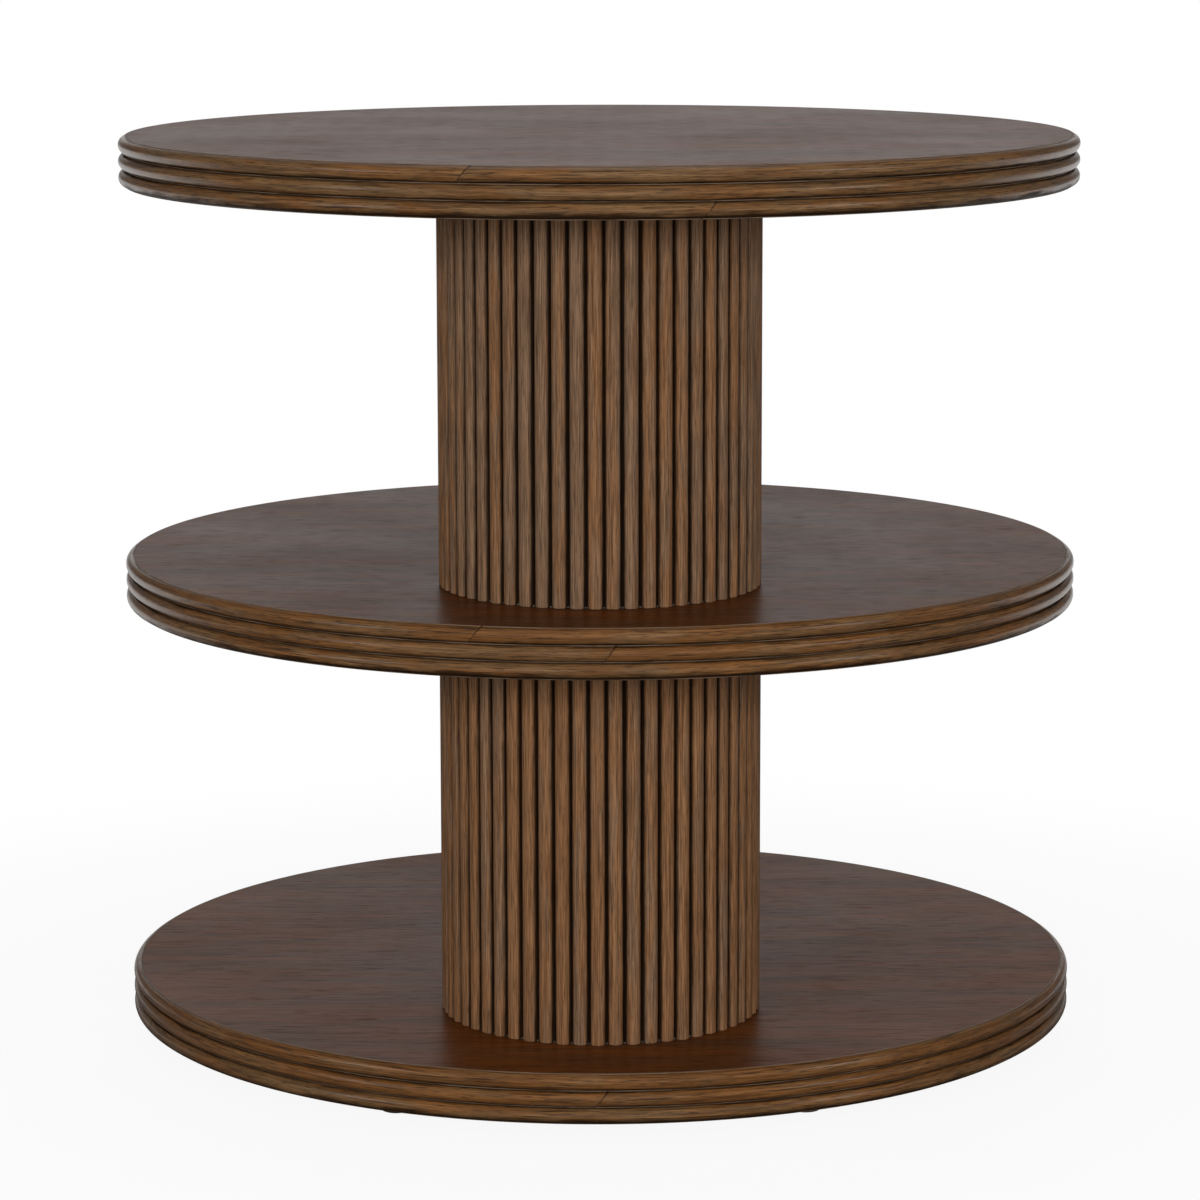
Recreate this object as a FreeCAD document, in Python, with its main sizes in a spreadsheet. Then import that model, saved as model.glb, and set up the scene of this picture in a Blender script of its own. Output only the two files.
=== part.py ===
"""Round side table with three tiers on two reeded drum columns.

Each tier is a veneered board edged with three bent half-round beads. Each column is a bent-ply drum
with two end plates inside and straight half-round reeds glued round it. The columns stand one over the
other, forward of the tiers' centre. One tie rod on their axis draws the stack together, a dowel at each
joint stops it twisting, and six screw levellers carry it.

Millimetres, +Z up. The origin is on the floor, under the tiers' centre, and -Y is the front.
"""

import FreeCAD, Part
import os
import re

import Sketcher
from FreeCAD import Vector

# ---- driving sizes: alias, value, meaning -------------------------------------------------------------

SIZES = (
    ("tier_diameter", 710.0, "across the beads of a tier"),
    ("bead_height", 12.0, "height of one edge bead; three of them make a tier's thickness"),
    ("bead_depth", 6.0, "how far a bead stands out from the board it is glued to"),
    ("scarf_slant", 40.0, "degrees that a bead's glued joint leans from upright"),
    ("top_upper_joint", -15.0, "where each bead's first joint lies, in degrees right of the front"),
    ("top_middle_joint", 100.0, "as above"),
    ("top_lower_joint", 12.0, "as above"),
    ("middle_upper_joint", -14.0, "as above"),
    ("middle_middle_joint", 1.0, "as above"),
    ("middle_lower_joint", 96.0, "as above"),
    ("bottom_upper_joint", 84.0, "as above"),
    ("bottom_middle_joint", 0.0, "as above"),
    ("bottom_lower_joint", 110.0, "as above"),
    ("column_height", 275.0, "clear height between two tiers"),
    ("column_inset", 190.0, "from the tiers' front edge back to the axis of the columns"),
    ("drum_diameter", 219.0, "outside of a column's drum, under the reeds"),
    ("drum_wall", 12.0, "bent-ply wall of a drum"),
    ("reed_width", 11.8, "chord of a half-round reed"),
    ("reed_depth", 5.9, "how far a reed stands out from the drum"),
    ("reed_count", 56.0, "reeds round a column"),
    ("upper_reed_turn", -1.7, "degrees right of the front of the reed nearest to it, upper column"),
    ("lower_reed_turn", -1.0, "the same for the lower column"),
    ("end_plate", 18.0, "thickness of a drum's end plates"),
    ("glue_line", 0.1, "gap left for glue round end plates, beads, inserts and dowels"),
    ("rod_diameter", 10.0, "tie rod"),
    ("rod_play", 0.5, "gap between the tie rod and the holes it passes through"),
    ("rod_insert_diameter", 18.0, "threaded insert in the top board that the tie rod screws into"),
    ("rod_insert_length", 24.0, "the same, along the rod"),
    ("nut_across_flats", 17.0, "tie rod nut"),
    ("nut_height", 8.0, "the same, along the rod"),
    ("washer_diameter", 40.0, "washer that spreads the nut's load"),
    ("washer_thickness", 3.0, "the same, along the rod"),
    ("recess_diameter", 46.0, "recess under the bottom board for washer and nut"),
    ("recess_cover", 4.0, "how far the nut sits up inside that recess"),
    ("dowel_diameter", 10.0, "dowel beside the tie rod at each joint"),
    ("dowel_length", 34.0, "half of it in the board, half in the end plate"),
    ("dowel_offset", 60.0, "from the columns' axis to the dowel"),
    ("dowel_end_play", 1.0, "room left past each end of a dowel"),
    ("leveller_count", 6.0, "levellers under the bottom board"),
    ("leveller_inset", 65.0, "from a tier's edge in to the middle of a leveller"),
    ("leveller_start", 30.0, "degrees right of the front of the first leveller"),
    ("leveller_pad_diameter", 24.0, "glide pad"),
    ("leveller_pad_height", 11.0, "the same, from the floor up"),
    ("leveller_pad_bevel", 2.0, "bevel round the pad's lower edge"),
    ("leveller_stud_diameter", 8.0, "threaded stud of a leveller"),
    ("leveller_stud_reach", 26.0, "how far the stud goes up past its collar"),
    ("leveller_socket_depth", 7.0, "how far the stud goes down into its pad"),
    ("leveller_collar_flats", 13.0, "hexagon collar that a spanner turns"),
    ("leveller_collar_height", 6.5, "the same, along the stud"),
    ("leveller_insert_diameter", 12.0, "threaded insert in the bottom board"),
    ("leveller_insert_length", 15.0, "the same, along the stud"),
    ("leveller_hole_spare", 2.0, "hole left past the stud's end with the leveller wound in"),
    ("running_gap", 0.05, "radial gap of a stud that turns in its insert and its pad"),
    ("collar_gap", 0.3, "gap between a pad and the collar that turns above it"),
    ("stop_gap", 0.2, "gap left between a wound-in collar and the board"),
)

# Rounds that repeat are drawn with flats: the half-round stock of beads and reeds with this many, and a
# leveller's pad, and its stud with the insert and hole round it, with these.
STOCK_FLAT_COUNT = 3
PAD_FLAT_COUNT = 24
STUD_FLAT_COUNT = 12
BEADS_PER_TIER = ("lower", "middle", "upper")

# ---- lengths that follow from the driving sizes, as text for the sheet's expressions ---------------------

TIER = f"({len(BEADS_PER_TIER)} * bead_height)"
BOARD_RADIUS = "(tier_diameter / 2 - bead_depth)"
DRUM_INNER = "(drum_diameter / 2 - drum_wall)"
ROD_HOLE = "(rod_diameter / 2 + rod_play)"
RECESS_DEPTH = "(recess_cover + nut_height + washer_thickness)"
UNDERSIDE = "(leveller_pad_height + collar_gap + leveller_collar_height + stop_gap)"
STUD_IN_BOARD = "(leveller_stud_reach - stop_gap)"
LEVELLER_RADIUS = "(tier_diameter / 2 - leveller_inset)"
COLUMN_Y = "(column_inset - tier_diameter / 2)"
STACK = {
    "bottom": UNDERSIDE,
    "lower_column": f"({UNDERSIDE} + {TIER})",
    "middle": f"({UNDERSIDE} + {TIER} + column_height)",
    "upper_column": f"({UNDERSIDE} + 2 * {TIER} + column_height)",
    "top": f"({UNDERSIDE} + 2 * {TIER} + 2 * column_height)",
}
FRONT = -90  # the front lies at -90 degrees from +X, the direction that angles are counted from
FIRST_LEVELLER = f"leveller_start + {FRONT}"

doc = FreeCAD.newDocument("tiered_side_table")
sheet = doc.addObject("Spreadsheet::Sheet", "Sizes")
for row, (alias, value, meaning) in enumerate(SIZES, start=1):
    sheet.set(f"A{row}", alias)
    sheet.set(f"B{row}", str(value))
    sheet.setAlias(f"B{row}", alias)
    sheet.set(f"C{row}", meaning)
doc.recompute()

ALIAS = re.compile(r"\b(" + "|".join(alias for alias, _, _ in SIZES) + r")\b")


def bound(expression):
    """The expression with each alias written as a reference to the sheet."""
    return ALIAS.sub(r"Sizes.\1", expression)


def number(expression):
    """What an expression of aliases comes to now, as a float."""
    return float(sheet.evalExpression(bound(expression)))


# ---- helpers --------------------------------------------------------------------------------------------


def origin_feature(body, role):
    """The plane or axis of a body's own origin that has this role."""
    return next(feature for feature in body.Origin.OriginFeatures if feature.Role == role)


def new_body(label):
    """A PartDesign body under its own label."""
    body = doc.addObject("PartDesign::Body", label)
    body.Label = label
    return body


def new_sketch(body, name, plane="XY_Plane", lift=None):
    """An empty sketch on one of the body's own origin planes, lifted off it if asked."""
    sketch = body.newObject("Sketcher::SketchObject", f"{body.Name}_{name}")
    sketch.AttachmentSupport = [(origin_feature(body, plane), "")]
    sketch.MapMode = "FlatFace"
    if lift is not None:
        sketch.setExpression("AttachmentOffset.Base.z", bound(lift))
    return sketch


def place_point(sketch, geometry, end, x, y):
    """Ties one point of a sketch to the origin at x and y, both expressions."""
    for kind, distance in (("DistanceX", x), ("DistanceY", y)):
        index = sketch.addConstraint(
            Sketcher.Constraint(kind, -1, 1, geometry, end, number(distance))
        )
        sketch.setExpression(f"Constraints[{index}]", bound(distance))


def add_outline(sketch, points):
    """A closed outline of straight lines through points, each a pair of expressions."""
    places = [Vector(number(x), number(y), 0) for x, y in points]
    lines = [
        sketch.addGeometry(Part.LineSegment(start, end), False)
        for start, end in zip(places, places[1:] + places[:1])
    ]
    for line, following in zip(lines, lines[1:] + lines[:1]):
        sketch.addConstraint(Sketcher.Constraint("Coincident", line, 2, following, 1))
    for line, (x, y) in zip(lines, points):
        place_point(sketch, line, 1, x, y)


def add_circle(sketch, radius, x="0", y="0"):
    """A circle with its radius and centre tied to expressions."""
    centre = Vector(number(x), number(y), 0)
    index = sketch.addGeometry(Part.Circle(centre, Vector(0, 0, 1), number(radius)), False)
    tie = sketch.addConstraint(Sketcher.Constraint("Radius", index, number(radius)))
    sketch.setExpression(f"Constraints[{tie}]", bound(radius))
    place_point(sketch, index, 3, x, y)


def add_polygon(sketch, count, to_flat, x="0"):
    """A regular outline of count flats, each at the distance to_flat from its centre, which lies at x."""
    to_corner = f"({to_flat}) / cos({180 / count} deg)"
    turns = [360 * i / count for i in range(count)]
    add_outline(
        sketch,
        [(f"{x} + {to_corner} * cos({turn} deg)", f"{to_corner} * sin({turn} deg)") for turn in turns],
    )


def half_round(base, width, depth):
    """Corners of half-round stock whose back lies at base and whose nose is a flat at the full depth."""
    turns = [180 * i / STOCK_FLAT_COUNT - 90 for i in range(STOCK_FLAT_COUNT + 1)]
    nose = turns[STOCK_FLAT_COUNT // 2 + 1]
    return [
        (f"{base} + {depth} * cos({turn} deg) / cos({nose} deg)", f"{width} / 2 * sin({turn} deg)")
        for turn in turns
    ]


def revolve(body, sketch):
    """Turns the sketch once round its own vertical axis."""
    solid = body.newObject("PartDesign::Revolution", f"{body.Name}_turned")
    solid.Profile = sketch
    solid.ReferenceAxis = (sketch, ["V_Axis"])
    solid.Angle = 360
    return solid


def pad(body, sketch, length, name="pad"):
    """Raises the sketch by a length given as an expression."""
    solid = body.newObject("PartDesign::Pad", f"{body.Name}_{name}")
    solid.Profile = sketch
    solid.setExpression("Length", bound(length))
    return solid


def drill(body, sketch, depth, name, downwards=False):
    """Pockets the sketch to a depth; it cuts upwards from the sketch unless told otherwise."""
    doc.recompute()
    before = body.Shape.Volume
    cut = body.newObject("PartDesign::Pocket", f"{body.Name}_{name}")
    cut.Profile = sketch
    cut.setExpression("Length", bound(depth))
    cut.Reversed = not downwards
    doc.recompute()
    if body.Shape.Volume >= before:
        raise RuntimeError(f"{body.Name}: {name} cut nothing")
    return cut


def lowest_face(feature):
    """The name of a feature's lowest face."""
    heights = [face.CenterOfMass.z for face in feature.Shape.Faces]
    return f"Face{heights.index(min(heights)) + 1}"


def repeat_round(body, feature, count):
    """Repeats a feature evenly round the body's Z axis."""
    pattern = body.newObject("PartDesign::PolarPattern", f"{body.Name}_round")
    pattern.Originals = [feature]
    pattern.Axis = (origin_feature(body, "Z_Axis"), [""])
    pattern.Angle = 360
    pattern.setExpression("Occurrences", bound(count))
    body.Tip = pattern
    return pattern


def place(item, x="0", y="0", z="0", turn="0", lean="0"):
    """Puts an object at x, y, z, leant about its own X axis and then turned about Z, all by expression."""
    item.setExpression(
        "Placement",
        bound(f"placement(vector({x}; {y}; {z}); rotation({turn}; 0; {lean}))"),
    )


def tube(label, outer, inner, length):
    """A body of one plain tube standing on its own XY plane."""
    body = new_body(label)
    wall = new_sketch(body, "wall", "XZ_Plane")
    add_outline(wall, [(inner, "0"), (outer, "0"), (outer, length), (inner, length)])
    revolve(body, wall)
    return body


def rod(label, radius, length):
    """A plain cylinder standing on its own XY plane."""
    item = doc.addObject("Part::Cylinder", label)
    item.Label = label
    item.setExpression("Radius", bound(radius))
    item.setExpression("Height", bound(length))
    return item


def group(label, items):
    """Separate solids that share one node."""
    item = doc.addObject("Part::Compound", label)
    item.Label = label
    item.Links = items
    return item


# ---- tiers ------------------------------------------------------------------------------------------------


def round_board(label):
    """A tier's plain round board."""
    body = new_body(label)
    disc = new_sketch(body, "disc")
    add_circle(disc, BOARD_RADIUS)
    pad(body, disc, TIER)
    return body


def bore(body, name, radius, depth):
    """A round hole from a board's underside upwards, on the columns' axis."""
    sketch = new_sketch(body, name)
    add_circle(sketch, radius, "0", COLUMN_Y)
    drill(body, sketch, depth, f"{name}_bore")


def dowel_centre(sideways, axis_y):
    """The middle of a dowel, beside the columns' axis, which lies at x = 0 and axis_y."""
    return ("0", f"({axis_y} + dowel_offset)") if sideways else ("dowel_offset", axis_y)


def dowel_hole(body, name, lift, sideways=False, downwards=False):
    """A blind hole for half a dowel."""
    sketch = new_sketch(body, name, lift=lift)
    add_circle(sketch, "(dowel_diameter / 2 + glue_line)", *dowel_centre(sideways, COLUMN_Y))
    drill(body, sketch, "dowel_length / 2 + dowel_end_play", f"{name}_hole", downwards)


def top_board():
    """The top: no hole goes through it, so the tie rod ends in a blind insert."""
    body = round_board("top_board")
    pit = "(rod_insert_diameter / 2 + glue_line)"
    bore(body, "pit", pit, "(rod_insert_length + dowel_end_play)")
    dowel_hole(body, "under", "0")
    place(body, z=STACK["top"])
    return body


def middle_board():
    """The middle tier: the tie rod passes through, and a dowel is let in from each side."""
    body = round_board("middle_board")
    bore(body, "rod", ROD_HOLE, TIER)
    dowel_hole(body, "under", "0")
    dowel_hole(body, "over", TIER, sideways=True, downwards=True)
    place(body, z=STACK["middle"])
    return body


def bottom_board():
    """The bottom tier: recessed from below for washer and nut, and drilled for the levellers."""
    body = round_board("bottom_board")
    bore(body, "rod", ROD_HOLE, TIER)
    bore(body, "recess", "recess_diameter / 2", RECESS_DEPTH)
    dowel_hole(body, "over", TIER, sideways=True, downwards=True)
    seat = new_sketch(body, "insert_seat")
    seat.setExpression("AttachmentOffset.Rotation.Angle", bound(f"({FIRST_LEVELLER}) * 1 deg"))
    add_polygon(seat, STUD_FLAT_COUNT, "leveller_insert_diameter / 2 + glue_line", LEVELLER_RADIUS)
    hole = drill(body, seat, f"{STUD_IN_BOARD} + leveller_hole_spare", "leveller_hole")
    repeat_round(body, hole, "leveller_count")
    place(body, z=STACK["bottom"])
    return body


def bead(tier, which):
    """One edge bead: a bent half-round ring, sawn across at a slant into two lengths that meet."""
    label = f"{tier}_{which}_bead"
    ring = new_body(f"{label}_ring")
    section = new_sketch(ring, "section", "XZ_Plane")
    add_outline(
        section,
        half_round(f"({BOARD_RADIUS} + glue_line)", "bead_height", "(bead_depth - glue_line)"),
    )
    revolve(ring, section)
    level = f"({STACK[tier]} + {BEADS_PER_TIER.index(which) + 0.5} * bead_height)"
    place(ring, z=level)
    saw = new_body(f"{label}_saw")
    cut = new_sketch(saw, "half_plane")
    reach = "tier_diameter"
    add_outline(cut, [(f"-{reach}", "0"), (reach, "0"), (reach, reach), (f"-{reach}", reach)])
    pad(saw, cut, f"2 * {reach}").Midplane = True
    place(saw, z=level, turn=f"{tier}_{which}_joint + {FRONT}", lean="-scarf_slant")
    lengths = []
    for kind, name in (("Part::Common", "first"), ("Part::Cut", "second")):
        piece = doc.addObject(kind, f"{label}_{name}")
        piece.Base = ring
        piece.Tool = saw
        lengths.append(piece)
    return group(label, lengths)


# ---- columns ----------------------------------------------------------------------------------------------


def reeds(column, turn):
    """Straight half-round reeds, flat backs on the drum, evenly round it."""
    body = new_body(f"{column}_reeds")
    section = new_sketch(body, "section")
    add_outline(section, half_round("drum_diameter / 2", "reed_width", "reed_depth"))
    reed = pad(body, section, "column_height")
    doc.recompute()
    repeat_round(body, reed, "reed_count")
    place(body, y=COLUMN_Y, z=STACK[column], turn=f"{turn} + {FRONT}")
    return body


def end_plate(column, end):
    """A ply disc that closes one end of a drum and takes the tie rod and half a dowel."""
    body = tube(f"{column}_{end}_plate", f"({DRUM_INNER} - glue_line)", ROD_HOLE, "end_plate")
    hole = new_sketch(body, "dowel")
    centre = dowel_centre(end == "bottom", "0")
    add_circle(hole, "(dowel_diameter / 2 + glue_line)", *centre)
    drill(body, hole, "end_plate", "dowel_hole")
    raise_by = "column_height - end_plate" if end == "top" else "0"
    place(body, y=COLUMN_Y, z=f"{STACK[column]} + {raise_by}")
    return body


def column(name, turn):
    """A drum, its two end plates and its reeds."""
    drum = tube(f"{name}_drum", "drum_diameter / 2", DRUM_INNER, "column_height")
    place(drum, y=COLUMN_Y, z=STACK[name])
    return [drum, end_plate(name, "bottom"), end_plate(name, "top"), reeds(name, turn)]


# ---- what holds the stack together ----------------------------------------------------------------------


def dowels():
    """One dowel at each of the four joints, centred on the joint."""
    joints = (
        ("lower_column", True),
        ("middle", False),
        ("upper_column", True),
        ("top", False),
    )
    pegs = []
    for level, sideways in joints:
        peg = rod(f"dowel_{level}", "dowel_diameter / 2", "dowel_length")
        x, y = dowel_centre(sideways, COLUMN_Y)
        place(peg, x=x, y=y, z=f"{STACK[level]} - dowel_length / 2")
        pegs.append(peg)
    return group("twist_dowels", pegs)


def tie_rod():
    """The rod runs from below the nut to the end of the insert in the top board."""
    foot = f"({STACK['bottom']} + {RECESS_DEPTH} - washer_thickness - nut_height - rod_play)"
    item = rod("tie_rod", "rod_diameter / 2", f"{STACK['top']} + rod_insert_length - {foot}")
    place(item, y=COLUMN_Y, z=foot)
    return item


def tie_rod_insert():
    """Threaded insert let into the underside of the top board."""
    body = tube(
        "tie_rod_insert",
        "rod_insert_diameter / 2",
        "(rod_diameter / 2 + running_gap)",
        "rod_insert_length",
    )
    place(body, y=COLUMN_Y, z=STACK["top"])
    return body


def tie_rod_washer():
    """Wide washer at the top of the recess."""
    body = tube("tie_rod_washer", "washer_diameter / 2", ROD_HOLE, "washer_thickness")
    place(body, y=COLUMN_Y, z=f"{STACK['bottom']} + {RECESS_DEPTH} - washer_thickness")
    return body


def tie_rod_nut():
    """Hexagon nut that draws the stack together."""
    body = new_body("tie_rod_nut")
    hexagon = new_sketch(body, "hexagon")
    add_polygon(hexagon, 6, "nut_across_flats / 2")
    add_circle(hexagon, "(rod_diameter / 2 + running_gap)")
    pad(body, hexagon, "nut_height")
    under_washer = f"{STACK['bottom']} + {RECESS_DEPTH} - washer_thickness"
    place(body, y=COLUMN_Y, z=f"{under_washer} - nut_height")
    return body


# ---- levellers ------------------------------------------------------------------------------------------


def leveller_inserts():
    """Threaded inserts flush with the underside of the bottom board."""
    body = new_body("leveller_inserts")
    ring = new_sketch(body, "ring")
    add_polygon(ring, STUD_FLAT_COUNT, "leveller_insert_diameter / 2", LEVELLER_RADIUS)
    add_polygon(ring, STUD_FLAT_COUNT, "leveller_stud_diameter / 2", LEVELLER_RADIUS)
    one = pad(body, ring, "leveller_insert_length")
    doc.recompute()
    repeat_round(body, one, "leveller_count")
    place(body, z=STACK["bottom"], turn=FIRST_LEVELLER)
    return body


def at_leveller(item, index, z):
    """Places an item on the axis of one leveller."""
    angle = f"(({FIRST_LEVELLER} + {index} * 360 / leveller_count) * 1 deg)"
    place(item, x=f"{LEVELLER_RADIUS} * cos({angle})", y=f"{LEVELLER_RADIUS} * sin({angle})", z=z)


def leveller_stud(index):
    """Stud with a hexagon collar; its lower end turns in the pad, its upper end screws into the insert."""
    body = new_body(f"leveller_{index + 1}_stud")
    below = "(leveller_socket_depth + collar_gap)"
    collar = new_sketch(body, "collar", lift=below)
    add_polygon(collar, 6, "leveller_collar_flats / 2")
    pad(body, collar, "leveller_collar_height", "collar_pad")
    shank = new_sketch(body, "shank")
    to_corner = "(leveller_stud_diameter / 2 - running_gap)"
    add_polygon(shank, STUD_FLAT_COUNT, f"{to_corner} * cos({180 / STUD_FLAT_COUNT} deg)")
    pad(body, shank, f"{below} + leveller_collar_height + leveller_stud_reach", "shank_pad")
    at_leveller(body, index, "leveller_pad_height - leveller_socket_depth")
    return body


def leveller_pad(index):
    """Glide with a bevelled foot and a round socket in which the stud turns."""
    body = new_body(f"leveller_{index + 1}_pad")
    disc = new_sketch(body, "disc")
    add_polygon(disc, PAD_FLAT_COUNT, "leveller_pad_diameter / 2")
    blank = pad(body, disc, "leveller_pad_height")
    doc.recompute()
    bevel = body.newObject("PartDesign::Chamfer", f"{body.Name}_bevel")
    bevel.Base = (blank, [lowest_face(blank)])
    bevel.setExpression("Size", bound("leveller_pad_bevel"))
    socket = new_sketch(body, "socket", lift="leveller_pad_height")
    add_circle(socket, "leveller_stud_diameter / 2")
    drill(body, socket, "leveller_socket_depth + running_gap", "socket_hole", downwards=True)
    at_leveller(body, index, "0")
    return body


# ---- the whole table --------------------------------------------------------------------------------------

nodes = [top_board(), middle_board(), bottom_board()]
for tier in ("top", "middle", "bottom"):
    nodes += [bead(tier, which) for which in reversed(BEADS_PER_TIER)]
nodes += column("upper_column", "upper_reed_turn")
nodes += column("lower_column", "lower_reed_turn")
nodes += [dowels(), tie_rod(), tie_rod_insert(), tie_rod_washer(), tie_rod_nut(), leveller_inserts()]
for index in range(int(number("leveller_count"))):
    nodes += [leveller_stud(index), leveller_pad(index)]
doc.recompute()

for item in doc.Objects:
    if "Invalid" in item.State or "Error" in item.State:
        raise RuntimeError(f"{item.Name} is {item.State}")
for node in nodes:
    if node.Shape.isNull() or not node.Shape.isValid() or not node.Shape.Solids:
        raise RuntimeError(f"{node.Label} has no valid solid")

os.makedirs("parts", exist_ok=True)
for node in nodes:
    node.Shape.exportStep(f"parts/{node.Label}.step")
    print(f"{node.Label}: {len(node.Shape.Solids)} solids, {node.Shape.Volume / 1000:.1f} cm3")
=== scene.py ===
"""Edge beads, reeds, levellers, finishes and stage of a round side table with three tiers.

The solid model is loaded as a fixed frame, in metres, with +Z up and -Y to the front. Boards,
drums, end plates, dowels and fittings stay as they are and get a finish. Beads, reeds, glides and
studs are made here in the place of their plain solids, and ride on the same bodies.
"""

import math

import bmesh
import bpy
from bpy.props import FloatProperty, FloatVectorProperty, IntProperty, PointerProperty
from mathutils import Matrix, Vector


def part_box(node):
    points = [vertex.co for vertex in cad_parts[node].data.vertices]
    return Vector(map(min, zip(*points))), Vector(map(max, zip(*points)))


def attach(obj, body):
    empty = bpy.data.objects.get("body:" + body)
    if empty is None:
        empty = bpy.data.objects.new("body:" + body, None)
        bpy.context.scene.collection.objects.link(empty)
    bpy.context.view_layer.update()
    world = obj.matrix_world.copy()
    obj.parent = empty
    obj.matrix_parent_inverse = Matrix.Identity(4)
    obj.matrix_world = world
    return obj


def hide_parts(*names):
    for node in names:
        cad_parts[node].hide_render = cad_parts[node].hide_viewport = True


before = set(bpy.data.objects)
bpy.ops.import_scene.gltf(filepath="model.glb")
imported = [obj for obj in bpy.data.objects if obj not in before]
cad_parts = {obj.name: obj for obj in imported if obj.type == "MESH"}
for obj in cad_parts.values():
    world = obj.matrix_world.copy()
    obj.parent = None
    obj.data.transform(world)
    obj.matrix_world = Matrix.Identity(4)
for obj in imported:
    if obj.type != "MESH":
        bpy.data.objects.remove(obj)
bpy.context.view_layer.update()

bl_info = {
    "name": "Tiered Side Table",
    "version": (1, 0, 0),
    "blender": (4, 5, 0),
    "location": "View3D > Sidebar > Tiered Table",
    "description": "Beads, reeds, levellers and finishes of a round table with three tiers",
    "category": "Add Mesh",
}

MM = 0.001
FRONT = math.radians(-90)

# Degrees right of the front at which each bead's first joint lies, its second lying opposite, and
# how red the length right of that joint and the one left of it are.
BEADS = {
    "top_upper_bead": (-15.0, 0.25, 0.35),
    "top_middle_bead": (100.0, 0.2, 0.3),
    "top_lower_bead": (12.0, 0.4, 0.3),
    "middle_upper_bead": (-14.0, 0.85, 0.75),
    "middle_middle_bead": (1.0, 0.6, 0.75),
    "middle_lower_bead": (96.0, 0.5, 0.6),
    "bottom_upper_bead": (84.0, 0.9, 1.0),
    "bottom_middle_bead": (0.0, 0.95, 1.0),
    "bottom_lower_bead": (110.0, 0.4, 0.45),
}
# Degrees by which each column's reeds are turned, and how much redder they are than the plainest.
REEDS = {"upper_column_reeds": (-1.7, -0.15), "lower_column_reeds": (-1.0, 0.35)}
LEVELLERS = range(1, 7)
BEAD_DEPTH = 5.9 * MM
BEAD_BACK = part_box("top_upper_bead")[1].x - BEAD_DEPTH
CRISP_ANGLE = math.radians(35)

# Lengths and widths of each feature of the grain, along and across the wood.
STOCK_GRAIN = {
    "Figure Width": 0.0024,
    "Streak Width": 0.0013,
    "Line Width": 0.0008,
    "Pore Width": 0.0006,
}
BEAD_GRAIN = {
    **STOCK_GRAIN,
    "Figure Length": 0.1,
    "Tint Length": 0.06,
    "Tint Width": 0.012,
    "Streak Length": 0.05,
}
REED_GRAIN = {
    **STOCK_GRAIN,
    "Figure Length": 0.12,
    "Tint Length": 0.072,
    "Tint Width": 0.006,
    "Streak Length": 0.06,
}
VENEER_GRAIN = {
    "Figure Length": 0.5,
    "Figure Width": 0.022,
    "Tint Length": 0.2,
    "Tint Width": 0.035,
    "Streak Length": 0.1,
    "Streak Width": 0.004,
    "Line Width": 0.0014,
    "Pore Width": 0.0011,
}
PLAIN_GRAIN = {"Figure Length": 0.12, "Figure Width": 0.006, "Line Width": 0.0008}
# How fully the glaze and painted shade cover the wood.
GLAZE_AND_SHADE_COVER = 0.92
# Painted shade that the glaze mask gains above and below the middle of a bead, at a tier's own edge
# and in a groove.
EDGE_PAINTED_SHADE_ABOVE, EDGE_PAINTED_SHADE_BELOW = -0.3, 0.45
GROOVE_PAINTED_SHADE_ABOVE, GROOVE_PAINTED_SHADE_BELOW = -0.05, 0.15
DUST = (0.35, 0.33, 0.31)
SCUFF = (0.09, 0.088, 0.085)

# The socket in a glide, its floor above the glide's foot, and the stud's end that turns in it.
SOCKET_RADIUS = 4.0 * MM
SOCKET_FLOOR = 4.0 * MM
STUD_RADIUS = 3.95 * MM
# The hexagon collar of a stud: its gap above the glide, its height, and from its axis to a flat.
COLLAR_GAP = 0.3 * MM
COLLAR_HEIGHT = 6.5 * MM
COLLAR_FLAT = 6.5 * MM

# Each lamp's width and height, its place, and whether it shows in mirrored light.
LAMPS = {
    "front": ((5.0, 2.1), (0.0, -4.2, 1.35), False),
    "back": ((3.0, 2.1), (0.0, 4.2, 1.35), False),
    "left": ((1.0, 0.9), (-2.9, -1.9, 1.3), True),
    "right": ((1.0, 0.9), (2.9, -1.9, 1.3), True),
    "top": ((2.4, 2.4), (0.0, -0.2, 3.2), True),
}
LAMP_AIM = Vector((0.0, 0.0, 0.35))
# How white the floor is near the table, from where that grows, and from where it is full.
NEAR_WHITE = 0.92
FADE_START = 0.45
FADE_END = 1.0
WHITE = (1.0, 1.0, 1.0, 1.0)

CAMERA_LENS = 131.85
CAMERA_PLACE = (0.0, -3.2698, 0.8855)
CAMERA_DOWN = math.radians(9.743)
CAMERA_ROLL = math.radians(-0.111)


# ---- node helpers ----------------------------------------


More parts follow.
